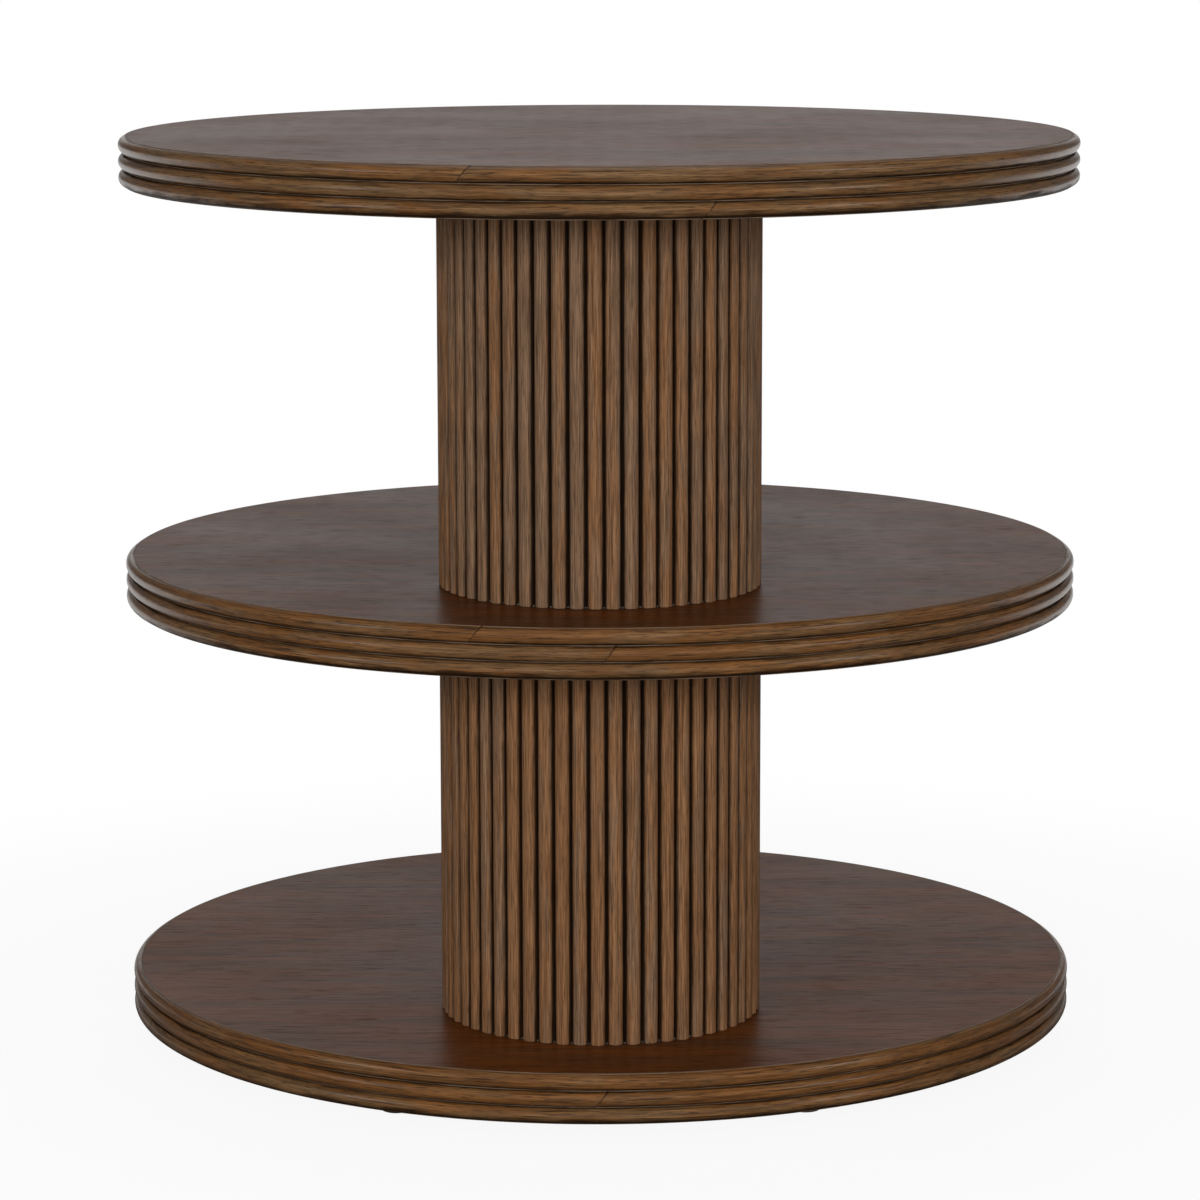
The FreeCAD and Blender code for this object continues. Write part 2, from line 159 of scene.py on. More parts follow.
class Nodes:
    """Adds nodes to one tree and feeds their sockets with numbers, colours or other sockets."""

    def __init__(self, tree):
        self.tree = tree

    def add(self, kind, feeds=None, **settings):
        """A new node with its settings made and its sockets fed by name or by place."""
        node = self.tree.nodes.new(kind)
        node.location = (200 * (len(self.tree.nodes) % 12), -260 * (len(self.tree.nodes) // 12))
        for name, value in settings.items():
            setattr(node, name, value)
        for name, value in (feeds or {}).items():
            self.feed(shown(node.inputs, name), value)
        return node

    def first(self, kind, feeds=None, **settings):
        """The first output of a new node."""
        return self.add(kind, feeds, **settings).outputs[0]

    def feed(self, socket, value):
        """Links a socket to another one, or sets its value."""
        if isinstance(value, bpy.types.NodeSocket):
            self.tree.links.new(value, socket)
        else:
            socket.default_value = value

    def math(self, operation, *values):
        """One step of arithmetic."""
        return self.first("ShaderNodeMath", dict(enumerate(values)), operation=operation)

    def vector(self, x, y, z):
        """Three numbers as one vector."""
        return self.first("ShaderNodeCombineXYZ", {0: x, 1: y, 2: z})

    def parts(self, vector):
        """The three numbers of a vector."""
        return self.add("ShaderNodeSeparateXYZ", {0: vector}).outputs

    def vector_math(self, operation, *values):
        """One step of vector arithmetic, with whichever output that step has."""
        node = self.add("ShaderNodeVectorMath", dict(enumerate(values)), operation=operation)
        return next(socket for socket in node.outputs if socket.enabled)

    def ramp(self, value, low, high, to_low=0.0, to_high=1.0):
        """A smooth step of the value between two levels."""
        feeds = {
            "Value": value,
            "From Min": low,
            "From Max": high,
            "To Min": to_low,
            "To Max": to_high,
        }
        return self.first("ShaderNodeMapRange", feeds, interpolation_type="SMOOTHSTEP")

    def colour_mix(self, factor, below, above):
        """Two colours mixed by a factor."""
        node = self.add("ShaderNodeMix", data_type="RGBA")
        for name, value in (("Factor", factor), ("A", below), ("B", above)):
            self.feed(shown(node.inputs, name), value)
        return shown(node.outputs, "Result")


def shown(sockets, name):
    """The socket in use that has this name, or that stands at this place."""
    if isinstance(name, int):
        return sockets[name]
    return next(socket for socket in sockets if socket.name == name and socket.enabled)


def new_group(name, kind, inputs, outputs):
    """An empty node group: its nodes, what it is given, and its output node.

    An input is given as its default number or as the kind of its socket, an output as its kind.
    """
    tree = bpy.data.node_groups.new(name, kind)
    for label, value in inputs.items():
        number = {float: "Float", int: "Int"}.get(type(value))
        socket = tree.interface.new_socket(
            label, in_out="INPUT", socket_type=f"NodeSocket{number or value}"
        )
        if number:
            socket.default_value = value
    for label, sort in outputs.items():
        tree.interface.new_socket(label, in_out="OUTPUT", socket_type=f"NodeSocket{sort}")
    nodes = Nodes(tree)
    given = nodes.add("NodeGroupInput").outputs
    end = nodes.add("NodeGroupOutput")
    return nodes, given, end


def once(name, make):
    """The node group of this name, made the first time that it is asked for."""
    return bpy.data.node_groups.get(name) or make(name)


# ---- shader groups ---------------------------------------


def wood_grain(name):
    """Straight grain along the first number of At: figure, tint, streaks, lines and pores."""
    nodes, given, end = new_group(
        name,
        "ShaderNodeTree",
        {
            "At": "Vector",
            "Shift": 0.0,
            "Figure Length": 0.15,
            "Figure Width": 0.004,
            "Tint Length": 0.08,
            "Tint Width": 0.008,
            "Streak Length": 0.1,
            "Streak Width": 0.002,
            "Line Width": 0.0006,
            "Pore Width": 0.0003,
        },
        dict.fromkeys(("Figure", "Tint", "Streaks", "Lines", "Pores"), "Float"),
    )
    shift = given["Shift"]
    moved = nodes.vector_math("ADD", given["At"], nodes.vector(shift, shift, shift))

    def drawn_out(name, factor):
        return nodes.math("MULTIPLY", given[name], factor)

    # Length, width, levels between which the feature fades in, detail and distortion.
    layers = {
        "Figure": (given["Figure Length"], given["Figure Width"], 0.3, 0.7, 3.0, 0.4),
        "Tint": (given["Tint Length"], given["Tint Width"], 0.35, 0.65, 2.0, 0.6),
        "Streaks": (given["Streak Length"], given["Streak Width"], 0.56, 0.7, 2.0, 0.3),
        "Lines": (drawn_out("Line Width", 40.0), given["Line Width"], 0.3, 0.7, 2.0, 0.0),
        "Pores": (drawn_out("Pore Width", 18.0), given["Pore Width"], 0.56, 0.68, 1.0, 0.0),
    }
    for output, (length, width, low, high, detail, distortion) in layers.items():
        noise = nodes.first(
            "ShaderNodeTexNoise",
            {
                "Vector": nodes.vector_math("DIVIDE", moved, nodes.vector(length, width, width)),
                "Scale": 1.0,
                "Detail": detail,
                "Roughness": 0.58,
                "Distortion": distortion,
            },
        )
        nodes.feed(end.inputs[output], nodes.ramp(noise, low, high))
    return nodes.tree


def groove_glaze(name):
    """Dark glaze and painted shade where the stock runs into a groove, with an uneven border."""
    nodes, given, end = new_group(
        name,
        "ShaderNodeTree",
        {"At": "Vector", "Groove": 0.0, "Start": 0.55, "Full": 0.9, "Unevenness": 0.2},
        {"Glaze": "Float", "Wiped": "Float"},
    )
    patches = nodes.first(
        "ShaderNodeTexNoise",
        {
            "Vector": nodes.vector_math("DIVIDE", given["At"], (0.035, 0.006, 0.006)),
            "Scale": 1.0,
            "Detail": 3.0,
            "Roughness": 0.6,
        },
    )
    centred = nodes.math("SUBTRACT", patches, 0.5)
    uneven = nodes.math("MULTIPLY_ADD", centred, given["Unevenness"], given["Groove"])
    nodes.feed(end.inputs["Glaze"], nodes.ramp(uneven, given["Start"], given["Full"]))
    nodes.feed(end.inputs["Wiped"], nodes.ramp(patches, 0.38, 0.6))
    return nodes.tree


def satin_lacquer(name):
    """Gentle cloudiness of a sprayed lacquer, as a value round nought and a height."""
    nodes, given, end = new_group(
        name,
        "ShaderNodeTree",
        {"At": "Vector", "Cloud Size": 0.03},
        {"Cloud": "Float", "Height": "Float"},
    )
    size = given["Cloud Size"]
    cloud = nodes.first(
        "ShaderNodeTexNoise",
        {
            "Vector": nodes.vector_math("DIVIDE", given["At"], nodes.vector(size, size, size)),
            "Scale": 1.0,
            "Detail": 2.0,
        },
    )
    peel = nodes.first("ShaderNodeTexNoise", {"Vector": given["At"], "Scale": 900.0, "Detail": 1.0})
    nodes.feed(end.inputs["Cloud"], nodes.math("SUBTRACT", cloud, 0.5))
    nodes.feed(end.inputs["Height"], peel)
    return nodes.tree


# ---- materials -------------------------------------------


def new_material(name):
    """A material with one Principled shader: its nodes and that shader."""
    material = bpy.data.materials.new(name)
    material.use_nodes = True
    material.node_tree.nodes.clear()
    nodes = Nodes(material.node_tree)
    shader = nodes.add("ShaderNodeBsdfPrincipled")
    nodes.add("ShaderNodeOutputMaterial", {"Surface": shader.outputs[0]})
    return material, nodes, shader


def use_group(nodes, name, make, feeds):
    """A shared group placed in a material with its own values."""
    node = nodes.add("ShaderNodeGroup", node_tree=once(name, make))
    for label, value in feeds.items():
        nodes.feed(node.inputs[label], value)
    return node.outputs


def attribute(nodes, name, vector=False):
    """A named attribute of the mesh, as a number or a vector."""
    node = nodes.add("ShaderNodeAttribute", attribute_name=name)
    return node.outputs["Vector"] if vector else node.outputs["Fac"]


def colour(values):
    """A colour property as the four numbers that a socket takes."""
    return (*values, 1.0)


def bump(nodes, shader, height, distance, strength):
    """Feeds a height in metres to the shader's normal."""
    node = nodes.add(
        "ShaderNodeBump", {"Height": height, "Distance": distance, "Strength": strength}
    )
    nodes.feed(shader.inputs["Normal"], node.outputs[0])


def grained(nodes, grain, finish, hue):
    """Colour of stained wood: figure, tint from cool to warm, then lines, streaks and pores."""
    body = nodes.colour_mix(grain["Figure"], colour(finish.dark), colour(finish.light))
    tinted = nodes.colour_mix(
        hue,
        nodes.colour_mix(0.6, body, colour(finish.cool)),
        nodes.colour_mix(0.6, body, colour(finish.warm)),
    )
    shade = nodes.math("MULTIPLY_ADD", grain["Lines"], -finish.lines, 1.0 + finish.lines / 2)
    lined = nodes.vector_math("MULTIPLY", tinted, nodes.vector(shade, shade, shade))
    streaked = nodes.colour_mix(
        nodes.math("MULTIPLY", grain["Streaks"], finish.streaks), lined, colour(finish.line)
    )
    return nodes.colour_mix(
        nodes.math("MULTIPLY", grain["Pores"], finish.pores), streaked, colour(finish.glaze)
    )


def lacquered(nodes, shader, at, grain, cloud_size, finish, depth):
    """Satin sheen over the grain: cloudy, duller in the pores, and following the lines a little."""
    lacquer = use_group(nodes, "Satin lacquer", satin_lacquer, {"At": at, "Cloud Size": cloud_size})
    rough = nodes.math("MULTIPLY_ADD", lacquer["Cloud"], 0.16, finish.roughness)
    nodes.feed(shader.inputs["Roughness"], nodes.math("MULTIPLY_ADD", grain["Pores"], 0.15, rough))
    shader.inputs["Specular IOR Level"].default_value = finish.gloss
    raised = nodes.math("MULTIPLY", grain["Lines"], 0.35)
    bump(nodes, shader, nodes.math("MULTIPLY_ADD", grain["Pores"], -0.7, raised), depth, 0.6)


def stock_wood(name, finish, grain_sizes):
    """Stained half-round stock: grain along it, its own tone, and dark glaze and painted shade in
    the grooves.
    """
    material, nodes, shader = new_material(name)
    at = attribute(nodes, "grain_at", vector=True)
    tone = attribute(nodes, "tone")
    shift = nodes.math("MULTIPLY", tone, 3.7)
    grain = use_group(nodes, "Wood grain", wood_grain, {"At": at, "Shift": shift, **grain_sizes})
    glaze = use_group(
        nodes,
        "Groove glaze",
        groove_glaze,
        {
            "At": at,
            "Groove": attribute(nodes, "groove"),
            "Start": finish.glaze_start,
            "Full": finish.glaze_full,
            "Unevenness": finish.unevenness,
        },
    )
    mottled = nodes.math("MULTIPLY", grain["Tint"], 0.5)
    hue = nodes.ramp(nodes.math("MULTIPLY_ADD", tone, 0.5, mottled), 0.2, 0.8)
    bare = grained(nodes, grain, finish, hue)
    # Glaze and painted shade: the wood darkens down the sides of the stock into the groove.
    cover = nodes.math("MULTIPLY", glaze["Glaze"], GLAZE_AND_SHADE_COVER)
    glazed = nodes.colour_mix(cover, bare, colour(finish.glaze))
    along, _, out = nodes.parts(at)
    # A light line on the flat of a groove: dried glaze, and a painted highlight where that flat
    # catches light.
    flat = nodes.ramp(out, finish.residue_depth, finish.residue_depth + 0.4 * MM, 1.0, 0.0)
    residue = nodes.math("MULTIPLY", flat, nodes.math("MULTIPLY_ADD", glaze["Wiped"], 0.6, 0.3))
    with_dried_glaze_and_highlight = nodes.colour_mix(residue, glazed, colour(finish.residue))
    near_foot = nodes.ramp(along, 0.6 * MM, 1.4 * MM, 1.0, 0.0)
    near_drum = nodes.ramp(out, 0.6 * MM, 2.2 * MM, finish.foot_dust, 0.0)
    settled = nodes.colour_mix(nodes.math("MULTIPLY", near_foot, near_drum), with_dried_glaze_and_highlight, colour(DUST))
    seam = nodes.ramp(attribute(nodes, "joint"), 0.3 * MM, 0.9 * MM, 0.95, 0.0)
    broken = nodes.math("MULTIPLY", seam, glaze["Wiped"])
    jointed = nodes.colour_mix(broken, settled, colour(finish.glaze))
    nodes.feed(shader.inputs["Base Color"], jointed)
    if finish.coat:
        coat = nodes.math("MULTIPLY_ADD", glaze["Glaze"], -finish.coat, finish.coat)
        nodes.feed(shader.inputs["Coat Weight"], coat)
        shader.inputs["Coat Roughness"].default_value = 0.3
    lacquered(nodes, shader, at, grain, 0.02, finish, 0.14 * MM)
    return material


def veneer(name, finish):
    """Straight-grained veneer laid along X under a satin lacquer."""
    material, nodes, shader = new_material(name)
    at = nodes.add("ShaderNodeTexCoord").outputs["Object"]
    grain = use_group(nodes, "Wood grain", wood_grain, {"At": at, "Shift": 0.37, **VENEER_GRAIN})
    nodes.feed(shader.inputs["Base Color"], grained(nodes, grain, finish, grain["Tint"]))
    lacquered(nodes, shader, at, grain, 0.12, finish, 0.1 * MM)
    return material


def plain_wood(name, dark, light, roughness, upright=False):
    """Unlacquered wood or ply, with its grain along X, or along Z where it stands upright."""
    material, nodes, shader = new_material(name)
    at = nodes.add("ShaderNodeTexCoord").outputs["Object"]
    if upright:
        x, y, z = nodes.parts(at)
        at = nodes.vector(z, x, y)
    grain = use_group(nodes, "Wood grain", wood_grain, {"At": at, **PLAIN_GRAIN})
    body = nodes.colour_mix(grain["Figure"], colour(dark), colour(light))
    pores = nodes.math("MULTIPLY", grain["Pores"], 0.4)
    nodes.feed(shader.inputs["Base Color"], nodes.colour_mix(pores, body, colour(dark)))
    rough = nodes.math("MULTIPLY_ADD", grain["Lines"], 0.12, roughness)
    nodes.feed(shader.inputs["Roughness"], rough)
    shader.inputs["Specular IOR Level"].default_value = 0.3
    bump(nodes, shader, grain["Lines"], 0.15 * MM, 0.6)
    return material


def zinc_plate(name, sizes):
    """Bright zinc plate with a fine spangle, cloudy in its shine and slightly uneven."""
    material, nodes, shader = new_material(name)
    at = nodes.add("ShaderNodeTexCoord").outputs["Object"]
    lacquer = use_group(nodes, "Satin lacquer", satin_lacquer, {"At": at, "Cloud Size": 0.008})
    spangle = nodes.add(
        "ShaderNodeTexVoronoi", {"Vector": at, "Scale": 2200.0}, feature="F1"
    ).outputs["Color"]
    darker = colour([value * 0.72 for value in sizes.zinc])
    spangled = nodes.math("MULTIPLY", nodes.parts(spangle)[0], 0.35)
    plate = nodes.colour_mix(spangled, colour(sizes.zinc), darker)
    nodes.feed(shader.inputs["Base Color"], plate)
    shader.inputs["Metallic"].default_value = 1.0
    rough = nodes.math("MULTIPLY_ADD", lacquer["Cloud"], 0.3, 0.34)
    nodes.feed(shader.inputs["Roughness"], rough)
    bump(nodes, shader, lacquer["Height"], 0.03 * MM, 0.5)
    return material


def moulded_plastic(name, sizes):
    """Matte black moulding with a fine grain, scuffed grey where it meets the floor."""
    material, nodes, shader = new_material(name)
    at = nodes.add("ShaderNodeTexCoord").outputs["Object"]
    lacquer = use_group(nodes, "Satin lacquer", satin_lacquer, {"At": at, "Cloud Size": 0.006})
    grain = nodes.first("ShaderNodeTexNoise", {"Vector": at, "Scale": 3200.0, "Detail": 2.0})
    low = nodes.ramp(nodes.parts(at)[2], 0.3 * MM, 2.2 * MM, 1.0, 0.0)
    scuff = nodes.math("MULTIPLY", low, nodes.ramp(grain, 0.45, 0.7))
    half_scuff = nodes.math("MULTIPLY", scuff, 0.5)
    scuffed = nodes.colour_mix(half_scuff, colour(sizes.plastic), colour(SCUFF))
    nodes.feed(shader.inputs["Base Color"], scuffed)
    rough = nodes.math("MULTIPLY_ADD", lacquer["Cloud"], 0.2, 0.5)
    nodes.feed(shader.inputs["Roughness"], rough)
    bump(nodes, shader, grain, 0.05 * MM, 0.5)
    return material


# ---- geometry trees --------------------------------------


def half_round_outline(nodes, width, depth, edges, arc_points):
    """Closed outline of half-round stock, with X out from its flat back and Y across it.

    Each of the two edges is given as how far out its flat stands and how wide that flat is.
    """
    half = nodes.math("MULTIPLY", width, 0.5)
    joined = nodes.add("GeometryNodeJoinGeometry")
    corners = []
    for side, (base, land) in zip((1, -1), edges):
        rise = nodes.math("SUBTRACT", half, land)
        out = nodes.math("SUBTRACT", depth, base)
        squares = nodes.math("MULTIPLY_ADD", rise, rise, nodes.math("MULTIPLY", out, out))
        radius = nodes.math("DIVIDE", squares, nodes.math("MULTIPLY", out, 2.0))
        sweep = nodes.math("ARCSINE", nodes.math("DIVIDE", rise, radius))
        arc = nodes.add(
            "GeometryNodeCurveArc",
            {
                "Resolution": arc_points,
                "Radius": radius,
                "Start Angle": nodes.math("MULTIPLY", sweep, min(side, 0)),
                "Sweep Angle": sweep,
            },
            mode="RADIUS",
        ).outputs["Curve"]
        moved = nodes.first(
            "GeometryNodeTransform",
            {
                "Geometry": arc,
                "Translation": nodes.vector(nodes.math("SUBTRACT", depth, radius), 0.0, 0.0),
            },
        )
        line = nodes.first("GeometryNodeCurveToMesh", {"Curve": moved})
        nodes.tree.links.new(line, joined.inputs[0])
        edge = [
            (base, nodes.math("MULTIPLY", rise, side)),
            (base, nodes.math("MULTIPLY", half, side)),
            (0.0, nodes.math("MULTIPLY", half, side)),
        ]
        corners += edge if side > 0 else edge[::-1]
    switch = nodes.add("GeometryNodeIndexSwitch", data_type="VECTOR")
    while len(switch.index_switch_items) < len(corners):
        switch.index_switch_items.new()
    nodes.feed(switch.inputs[0], nodes.first("GeometryNodeInputIndex"))
    for place, (x, y) in enumerate(corners, start=1):
        nodes.feed(switch.inputs[place], nodes.vector(x, y, 0.0))
    frame_line = nodes.first("GeometryNodeMeshLine", {"Count": len(corners)})
    bent = nodes.first(
        "GeometryNodeSetPosition", {"Geometry": frame_line, "Position": switch.outputs[0]}
    )
    nodes.tree.links.new(bent, joined.inputs[0])
    welded = nodes.first(
        "GeometryNodeMergeByDistance", {"Geometry": joined.outputs[0], "Distance": 2e-6}
    )
    return nodes.first("GeometryNodeMeshToCurve", {"Mesh": welded})


def stored(nodes, geometry, name, value, data_type="FLOAT", domain="POINT"):
    """The geometry with a value kept on it under a name."""
    node = nodes.add(
        "GeometryNodeStoreNamedAttribute",
        {"Geometry": geometry, "Name": name},
        data_type=data_type,
        domain=domain,
    )
    nodes.feed(shown(node.inputs, "Value"), value)
    return node.outputs[0]


def finished(nodes, geometry, material, end):
    """Real geometry in the place of instances, smooth with crisp corners, and its material."""
    real = nodes.first("GeometryNodeRealizeInstances", {"Geometry": geometry})
    smooth = nodes.first("GeometryNodeSetShadeSmooth", {"Geometry": real}, domain="FACE")
    angle = nodes.add("GeometryNodeInputMeshEdgeAngle").outputs["Unsigned Angle"]
    crisp = nodes.first(
        "GeometryNodeSetShadeSmooth",
        {
            "Geometry": smooth,
            "Selection": nodes.math("GREATER_THAN", angle, CRISP_ANGLE),
            "Shade Smooth": False,
        },
        domain="EDGE",
    )
    coated = nodes.first("GeometryNodeSetMaterial", {"Geometry": crisp, "Material": material})
    nodes.feed(end.inputs[0], coated)


def bead_ring(name):
    """Half-round stock bent into two lengths that close a ring at slanting joints."""
    nodes, given, end = new_group(
        name,
        "GeometryNodeTree",
        {
            "Back Radius": 0.35,
            "Middle Height": 0.0,
            "Width": 0.012,
            "Depth": 0.006,
            "Base Above": 0.001,
            "Land Above": 0.0006,
            "Base Below": 0.001,
            "Land Below": 0.0006,
            "Glaze Above": 0.0,
            "Glaze Below": 0.0,
            "First Joint": 0.0,
            "Joint Slant": 0.7,
            "Joint Gap": 0.0001,
            "Steps": 144,
            "First Tone": 0.5,
            "Second Tone": 0.5,
            "Material": "Material",
        },
        {"Geometry": "Geometry"},
    )
    outline = half_round_outline(
        nodes,
        given["Width"],
        given["Depth"],
        ((given["Base Above"], given["Land Above"]), (given["Base Below"], given["Land Below"])),
        9,
    )
    diameter = nodes.math("MULTIPLY", given["Back Radius"], 2.0)
    clearance = nodes.math("DIVIDE", given["Joint Gap"], diameter)
    lengths = nodes.add("GeometryNodeJoinGeometry")
    for turn in (0.0, math.pi):
        start = nodes.math("ADD", nodes.math("ADD", given["First Joint"], clearance), turn)
        sweep = nodes.math("MULTIPLY_ADD", clearance, -2.0, math.pi)
        arc = nodes.add(
            "GeometryNodeCurveArc",
            {
                "Resolution": given["Steps"],
                "Radius": given["Back Radius"],
                "Start Angle": start,
                "Sweep Angle": sweep,
            },
            mode="RADIUS",
        ).outputs["Curve"]
        nodes.tree.links.new(arc, lengths.inputs[0])
    path = nodes.first("GeometryNodeSetCurveNormal", {"Curve": lengths.outputs[0]}, mode="Z_UP")
    travelled = nodes.add("GeometryNodeSplineParameter").outputs["Length"]
    whole = nodes.add("GeometryNodeSplineLength").outputs["Length"]
    to_end = nodes.math("MINIMUM", travelled, nodes.math("SUBTRACT", whole, travelled))
    path = stored(nodes, path, "along", travelled)
    path = stored(nodes, path, "joint", to_end)
    index = nodes.first("GeometryNodeInputIndex")
    change = nodes.math("SUBTRACT", given["Second Tone"], given["First Tone"])
    tone = nodes.math("MULTIPLY_ADD", index, change, given["First Tone"])
    path = stored(nodes, path, "tone", tone, domain="CURVE")
    tube = nodes.first(
        "GeometryNodeCurveToMesh", {"Curve": path, "Profile Curve": outline, "Fill Caps": True}
    )
    position = nodes.first("GeometryNodeInputPosition")
    x, y, across = nodes.parts(position)
    reach = nodes.math("SQRT", nodes.math("MULTIPLY_ADD", x, x, nodes.math("MULTIPLY", y, y)))
    out = nodes.math("SUBTRACT", reach, given["Back Radius"])
    along = nodes.first("GeometryNodeInputNamedAttribute", {"Name": "along"}, data_type="FLOAT")
    tube = stored(nodes, tube, "grain_at", nodes.vector(along, across, out), "FLOAT_VECTOR")
    # Depth into the groove, on which glaze and painted shade grow; the painted shade is raised on
    # the bead's lower side and lowered on its upper side.
    sunk = nodes.math("SUBTRACT", 1.0, nodes.math("DIVIDE", out, given["Depth"]))
    upper = nodes.ramp(across, -1.0 * MM, 1.0 * MM)
    change = nodes.math("SUBTRACT", given["Glaze Above"], given["Glaze Below"])
    painted_shade_offset = nodes.math("MULTIPLY_ADD", upper, change, given["Glaze Below"])
    tube = stored(nodes, tube, "groove", nodes.math("ADD", sunk, painted_shade_offset))
    x_way = nodes.math("COSINE", given["First Joint"])
    y_way = nodes.math("SINE", given["First Joint"])
    toward = nodes.math("MULTIPLY_ADD", x, x_way, nodes.math("MULTIPLY", y, y_way))
    facing = nodes.math("DIVIDE", toward, reach)
    slope = nodes.math("TANGENT", given["Joint Slant"])
    lean = nodes.math("DIVIDE", nodes.math("MULTIPLY", across, slope), reach)
    turned = nodes.first(
        "ShaderNodeVectorRotate",
        {"Vector": position, "Angle": nodes.math("MULTIPLY", lean, facing)},
        rotation_type="Z_AXIS",
    )
    slanted = nodes.first(
        "GeometryNodeSetPosition",
        {
            "Geometry": tube,
            "Position": turned,
            "Offset": nodes.vector(0.0, 0.0, given["Middle Height"]),
        },
    )
    finished(nodes, slanted, given["Material"], end)
    return nodes.tree


def reed_drum(name):
    """Half-round reeds standing round a drum, each with its own tone and a little play."""
    nodes, given, end = new_group(
        name,
        "GeometryNodeTree",
        {
            "Count": 56,
            "Drum Radius": 0.115,
            "Foot Centre": "Vector",
            "Length": 0.275,
            "Width": 0.0118,
            "Depth": 0.0059,
            "Base": 0.0006,
            "Land": 0.0002,
            "End Ease": 0.0006,
            "Foot Play": 0.0003,
            "Spacing Play": 0.001,
            "Turn": 0.0,
            "Redness": 0.0,
            "Seed": 0,
            "Material": "Material",
        },
        {"Geometry": "Geometry"},
    )
    edge = (given["Base"], given["Land"])
    outline = half_round_outline(nodes, given["Width"], given["Depth"], (edge, edge), 6)
    index = nodes.first("GeometryNodeInputIndex")
    long = nodes.math("SUBTRACT", given["Length"], given["Foot Play"])
    levels = (
        0.0,
        given["End Ease"],
        nodes.math("MULTIPLY", long, 0.5),
        nodes.math("SUBTRACT", long, given["End Ease"]),
        long,
    )
    heights = nodes.add("GeometryNodeIndexSwitch", data_type="FLOAT")
    scales = nodes.add("GeometryNodeIndexSwitch", data_type="FLOAT")
    for switch in (heights, scales):
        while len(switch.index_switch_items) < len(levels):
            switch.index_switch_items.new()
        nodes.feed(switch.inputs[0], index)
    eased = nodes.math("SUBTRACT", 1.0, nodes.math("DIVIDE", given["End Ease"], given["Depth"]))
    for place, level in enumerate(levels, start=1):
        nodes.feed(heights.inputs[place], level)
        nodes.feed(scales.inputs[place], eased if place in (1, len(levels)) else 1.0)
    line = nodes.first("GeometryNodeMeshLine", {"Count": len(levels)})
    upright = nodes.first(
        "GeometryNodeSetPosition",
        {"Geometry": line, "Position": nodes.vector(0.0, 0.0, heights.outputs[0])},
    )
    path = nodes.first("GeometryNodeMeshToCurve", {"Mesh": upright})
    reed = nodes.first(
        "GeometryNodeCurveToMesh",
        {"Curve": path, "Profile Curve": outline, "Scale": scales.outputs[0], "Fill Caps": True},
    )
    position = nodes.first("GeometryNodeInputPosition")
    out, across, along = nodes.parts(position)
    reed = stored(nodes, reed, "grain_at", nodes.vector(along, across, out), "FLOAT_VECTOR")
    # Depth into the valley between reeds, on which glaze and painted shade grow.
    sunk = nodes.math("SUBTRACT", 1.0, nodes.math("DIVIDE", out, given["Depth"]))
    reed = stored(nodes, reed, "groove", sunk)
    reed = stored(nodes, reed, "joint", 1.0)
    reed = nodes.first(
        "GeometryNodeTransform",
        {"Geometry": reed, "Translation": nodes.vector(given["Drum Radius"], 0.0, 0.0)},
    )

    def random(low, high, seed):
        node = nodes.add(
            "FunctionNodeRandomValue",
            {"Min": low, "Max": high, "ID": index, "Seed": nodes.math("ADD", given["Seed"], seed)},
            data_type="FLOAT",
        )
        return shown(node.outputs, "Value")

    step = nodes.math("DIVIDE", math.tau, given["Count"])
    even = nodes.math("MULTIPLY_ADD", index, step, given["Turn"])
    play = nodes.math("MULTIPLY", given["Spacing Play"], random(-1.0, 1.0, 11))
    stations = nodes.first("GeometryNodeMeshLine", {"Count": given["Count"]})
    lifted = nodes.first(
        "GeometryNodeSetPosition",
        {
            "Geometry": stations,
            "Position": given["Foot Centre"],
            "Offset": nodes.vector(0.0, 0.0, random(0.0, given["Foot Play"], 23)),
        },
    )
    ring = nodes.first(
        "GeometryNodeInstanceOnPoints",
        {
            "Points": lifted,
            "Instance": reed,
            "Rotation": nodes.vector(0.0, 0.0, nodes.math("ADD", even, play)),
        },
    )
    tone = nodes.math("ADD", random(0.0, 1.0, 37), given["Redness"])
    ring = stored(nodes, ring, "tone", tone, domain="INSTANCE")
    finished(nodes, ring, given["Material"], end)
    return nodes.tree


# ---- mesh helpers ----------------------------------------


def linked(name, mesh):
    """A new object for a mesh, at the origin of the scene."""
    piece = bpy.data.objects.new(name, mesh)
    bpy.context.scene.collection.objects.link(piece)
    return piece


def grown(name, make_tree, sizes):
    """A plain mesh object made by a geometry tree from these sizes."""
    tree = once(make_tree.__name__.replace("_", " ").capitalize(), make_tree)
    piece = linked(name, bpy.data.meshes.new(name))
    modifier = piece.modifiers.new(tree.name, "NODES")
    modifier.node_group = tree
    inputs = (item for item in tree.interface.items_tree if item.in_out == "INPUT")
    sockets = {item.name: item.identifier for item in inputs}
    for label, value in sizes.items():
        modifier[sockets[label]] = value
    depsgraph = bpy.context.evaluated_depsgraph_get()
    mesh = bpy.data.meshes.new_from_object(piece.evaluated_get(depsgraph))
    piece.modifiers.remove(modifier)
    if not mesh.polygons:
        raise RuntimeError(f"{name}: the tree {tree.name} made nothing")
    mesh.name = name
    piece.data = mesh
    outwards(mesh)
    return piece


def outwards(mesh):
    """Turns every closed shell of a mesh the right way out."""
    shell = bmesh.new()
    shell.from_mesh(mesh)
    bmesh.ops.recalc_face_normals(shell, faces=shell.faces)
    shell.to_mesh(mesh)
    shell.free()


def corner(shell, centre, radius, angle, height):
    """A new corner of a shell, at an angle and a radius round an upright axis."""
    x, y = radius * math.cos(angle), radius * math.sin(angle)
    return shell.verts.new((centre.x + x, centre.y + y, height))


